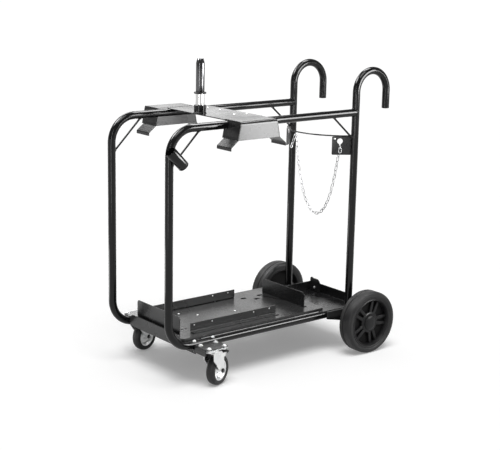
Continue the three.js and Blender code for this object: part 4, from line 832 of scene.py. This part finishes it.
for side, sign in SIDES:
    turn = Matrix.Translation((CASTER_X, sign * CASTER_Y, 0)) @ Matrix.Rotation(SWIVEL[side], 4, "Z")
    hub = Vector((-CASTER_TRAIL, 0, CASTER_AXLE_Z))
    wheel = f"{side}_caster_wheel"
    build(f"{side}_small_tyre", [lathe(CASTER_TYRE, hub, (0, 1, 0), 80, closed=True)], RUBBER, wheel,
          (f"{side}_caster_tyre",), turn=turn, smooth=50)
    build(f"{side}_small_rim", [lathe(CASTER_RIM, hub, (0, 1, 0), 64, closed=True)], ZINC, wheel,
          (f"{side}_caster_rim",), turn=turn)
    top = high(f"{side}_caster_fork").z
    race = [(0, top - 15), (25.5, top - 15), (26.6, top - 13.8), (26.6, top - 9.4), (24.6, top - 8.4),
            (24.6, top - 7), (27.0, top - 6), (27.0, top - 0.6), (26.0, top), (0, top)]
    refine(f"{side}_fork_plate", f"{side}_caster_fork", ZINC, f"{side}_swivel", 1.1, 3,
           [lathe(race, (0, 0, 0), (0, 0, 1), 48)], turn)
    heads = [sweep([hub + Vector((0, -26, 0)), hub + Vector((0, 26, 0))], 4.7, 24)]
    for way in (-1, 1):
        heads += hexagon_bolt(hub + Vector((0, way * 25.1, 0)), (0, way, 0), 7.2, 4.4, 1.1)
    build(f"{side}_fork_bolt", heads, STEEL, f"{side}_swivel", (f"{side}_caster_axle",), turn=turn)
    refine(f"{side}_top_plate", f"{side}_caster_plate", ZINC, "cart", 0.8, 2)
    seats = []
    for i in range(1, 5):
        node = f"{side}_caster_bolt_{i}"
        lo, hi = low(node), high(node)
        x, y = (lo.x + hi.x) / 2, (lo.y + hi.y) / 2
        seats += hexagon_bolt((x, y, hi.z - 5.5), (0, 0, 1), 7.2, 4.3, 1.2)
        seats += hexagon_bolt((x, y, lo.z + 5.5), (0, 0, -1), 7.2, 4.3, 1.2)
        seats.append(sweep([(x, y, lo.z + 5), (x, y, hi.z - 5)], 3.9, 16))
    build(f"{side}_plate_bolts", seats, ZINC, "cart",
          tuple(f"{side}_caster_bolt_{i}" for i in range(1, 5)))
studs = []
for side, sign in SIDES:
    for x in (CASTER_X - 45, CASTER_X + 45):
        lean = Vector((0, sign * 0.32, 1)).normalized()
        studs += hexagon_bolt(Vector((x, sign * SIDE_Y, RAIL_LOW)) + lean * (TUBE_R - 0.3), lean, 5.2, 4.0, 1.0)
build("rail_bolts", studs, ZINC, "cart")
refine("brake_pedal_pad", "left_brake_pedal", PLASTIC, "brake", 1.4, 3)


# Floor, light and camera
def plain(name, colour, glow):
    material = bpy.data.materials.new(name)
    material.use_nodes = True
    nodes, links = material.node_tree.nodes, material.node_tree.links
    shader = nodes["Principled BSDF"]
    shader.inputs["Base Color"].default_value = (*colour, 1)
    shader.inputs["Roughness"].default_value = 0.9
    shader.inputs["Specular IOR Level"].default_value = 0.0
    light = nodes.new("ShaderNodeEmission")
    light.inputs["Strength"].default_value = glow
    path = nodes.new("ShaderNodeLightPath")
    seen = nodes.new("ShaderNodeMath")
    seen.operation = "MAXIMUM"
    links.new(path.outputs["Is Camera Ray"], seen.inputs[0])
    links.new(path.outputs["Is Glossy Ray"], seen.inputs[1])
    also = nodes.new("ShaderNodeMath")
    also.operation = "MAXIMUM"
    links.new(seen.outputs["Value"], also.inputs[0])
    links.new(path.outputs["Is Transmission Ray"], also.inputs[1])
    none = nodes.new("ShaderNodeEmission")
    none.inputs["Strength"].default_value = 0
    choose = nodes.new("ShaderNodeMixShader")
    links.new(also.outputs["Value"], choose.inputs["Fac"])
    links.new(none.outputs["Emission"], choose.inputs[1])
    links.new(light.outputs["Emission"], choose.inputs[2])
    total = nodes.new("ShaderNodeAddShader")
    links.new(shader.outputs["BSDF"], total.inputs[0])
    links.new(choose.outputs["Shader"], total.inputs[1])
    links.new(total.outputs["Shader"], nodes["Material Output"].inputs["Surface"])
    return material


# The floor rises a little far off, so that it also fills the picture from low angles
FLAT_TO, FLOOR_END, FLOOR_RISE = 24.0, 60.0, 4.0
profile = [(0, 0), (8, 0), (16, 0)]
for k in range(13):
    profile.append((FLAT_TO + (FLOOR_END - FLAT_TO) * k / 12, FLOOR_RISE * (k / 12) ** 2))
verts, faces = lathe(profile, (0, 0, 0), (0, 0, 1), 64)
mesh = bpy.data.meshes.new("studio_floor")
mesh.from_pydata(verts, [], faces)
for face in mesh.polygons:
    face.use_smooth = True
floor = bpy.data.objects.new("studio_floor", mesh)
scene.collection.objects.link(floor)
mesh.materials.append(plain("pale_floor", (0.86, 0.86, 0.86), 0.22))

world = bpy.data.worlds.new("studio")
scene.world = world
world.use_nodes = True
sky = world.node_tree.nodes["Background"]
sky.inputs["Color"].default_value = (1, 1, 1, 1)
sky.inputs["Strength"].default_value = 0.35


def softbox(name, place, target, width, height, radiance):
    lamp = bpy.data.lights.new(name, "AREA")
    lamp.shape = "RECTANGLE"
    lamp.size, lamp.size_y = width, height
    lamp.energy = radiance * math.pi * width * height
    box = bpy.data.objects.new(name, lamp)
    scene.collection.objects.link(box)
    aim = Vector(target) - Vector(place)
    box.location = place
    box.rotation_euler = aim.to_track_quat("-Z", "Y").to_euler()
    box.visible_camera = False
    return box


sun = bpy.data.lights.new("overhead", "SUN")
sun.energy = 2.0
sun.angle = math.radians(36)
lamp = bpy.data.objects.new("overhead", sun)
scene.collection.objects.link(lamp)
lamp.rotation_euler = Vector((-0.22, -0.3, -1)).to_track_quat("-Z", "Y").to_euler()
# Cards that only show in glossy surfaces, as in a product studio
for card in (softbox("back_card", (-1.77, -2.43, 1.75), (0.19, 0, 1.05), 2.6, 0.9, 1.55),
             softbox("rear_card", (-2.3, -2.6, 1.1), (-0.15, -0.1, 0.2), 0.9, 0.4, 1.6),
             softbox("side_card", (-1.2, 1.72, 1.34), (0.1, 0.2, 1.05), 1.15, 0.85, 22.0),
             softbox("panel_card", (-0.06, 0.55, 0.96), (0.155, 0.29, 1.01), 0.28, 0.22, 15.5),
             softbox("high_card", (-0.98, -0.4, 3.0), (0.35, 0, 1.05), 1.5, 0.6, 16.0),
             softbox("bend_card", (1.35, -1.1, 3.0), (0.45, 0, 1.0), 1.4, 1.2, 22.0),
             softbox("apron_card", (1.1, -0.95, 0.1), (0.47, 0, 0.2), 0.9, 0.3, 4.0),
             softbox("step_card", (-0.445, -1.46, 0.615), (0.35, -0.27, 0.17), 0.34, 0.2, 4.5),
             softbox("tread_card", (-0.13, -1.73, 2.45), (-0.42, 0, 0.2), 1.0, 1.0, 6.0),
             softbox("front_strip", (2.3, 1.22, 1.15), (0.2, 0.1, 0.9), 0.2, 2.0, 12.0)):
    card.visible_diffuse = False
    card.visible_transmission = False

camera = bpy.data.objects.new("camera", bpy.data.cameras.new("camera"))
scene.collection.objects.link(camera)
azimuth, elevation, roll = math.radians(141.118), math.radians(13.059), math.radians(1.158)
back = Vector((math.sin(azimuth) * math.cos(elevation), -math.cos(azimuth) * math.cos(elevation),
               math.sin(elevation)))
x_axis = Vector((0, 0, 1)).cross(back).normalized()
y_axis = back.cross(x_axis)
right = x_axis * math.cos(roll) + y_axis * math.sin(roll)
up = y_axis * math.cos(roll) - x_axis * math.sin(roll)
camera.matrix_world = Matrix(((right.x, up.x, back.x, 3.08658), (right.y, up.y, back.y, 3.8311),
                              (right.z, up.z, back.z, 1.6966), (0, 0, 0, 1)))
camera.data.sensor_fit = "HORIZONTAL"
camera.data.sensor_width = 36
camera.data.lens = 86.52
camera.data.clip_end = 200
scene.camera = camera
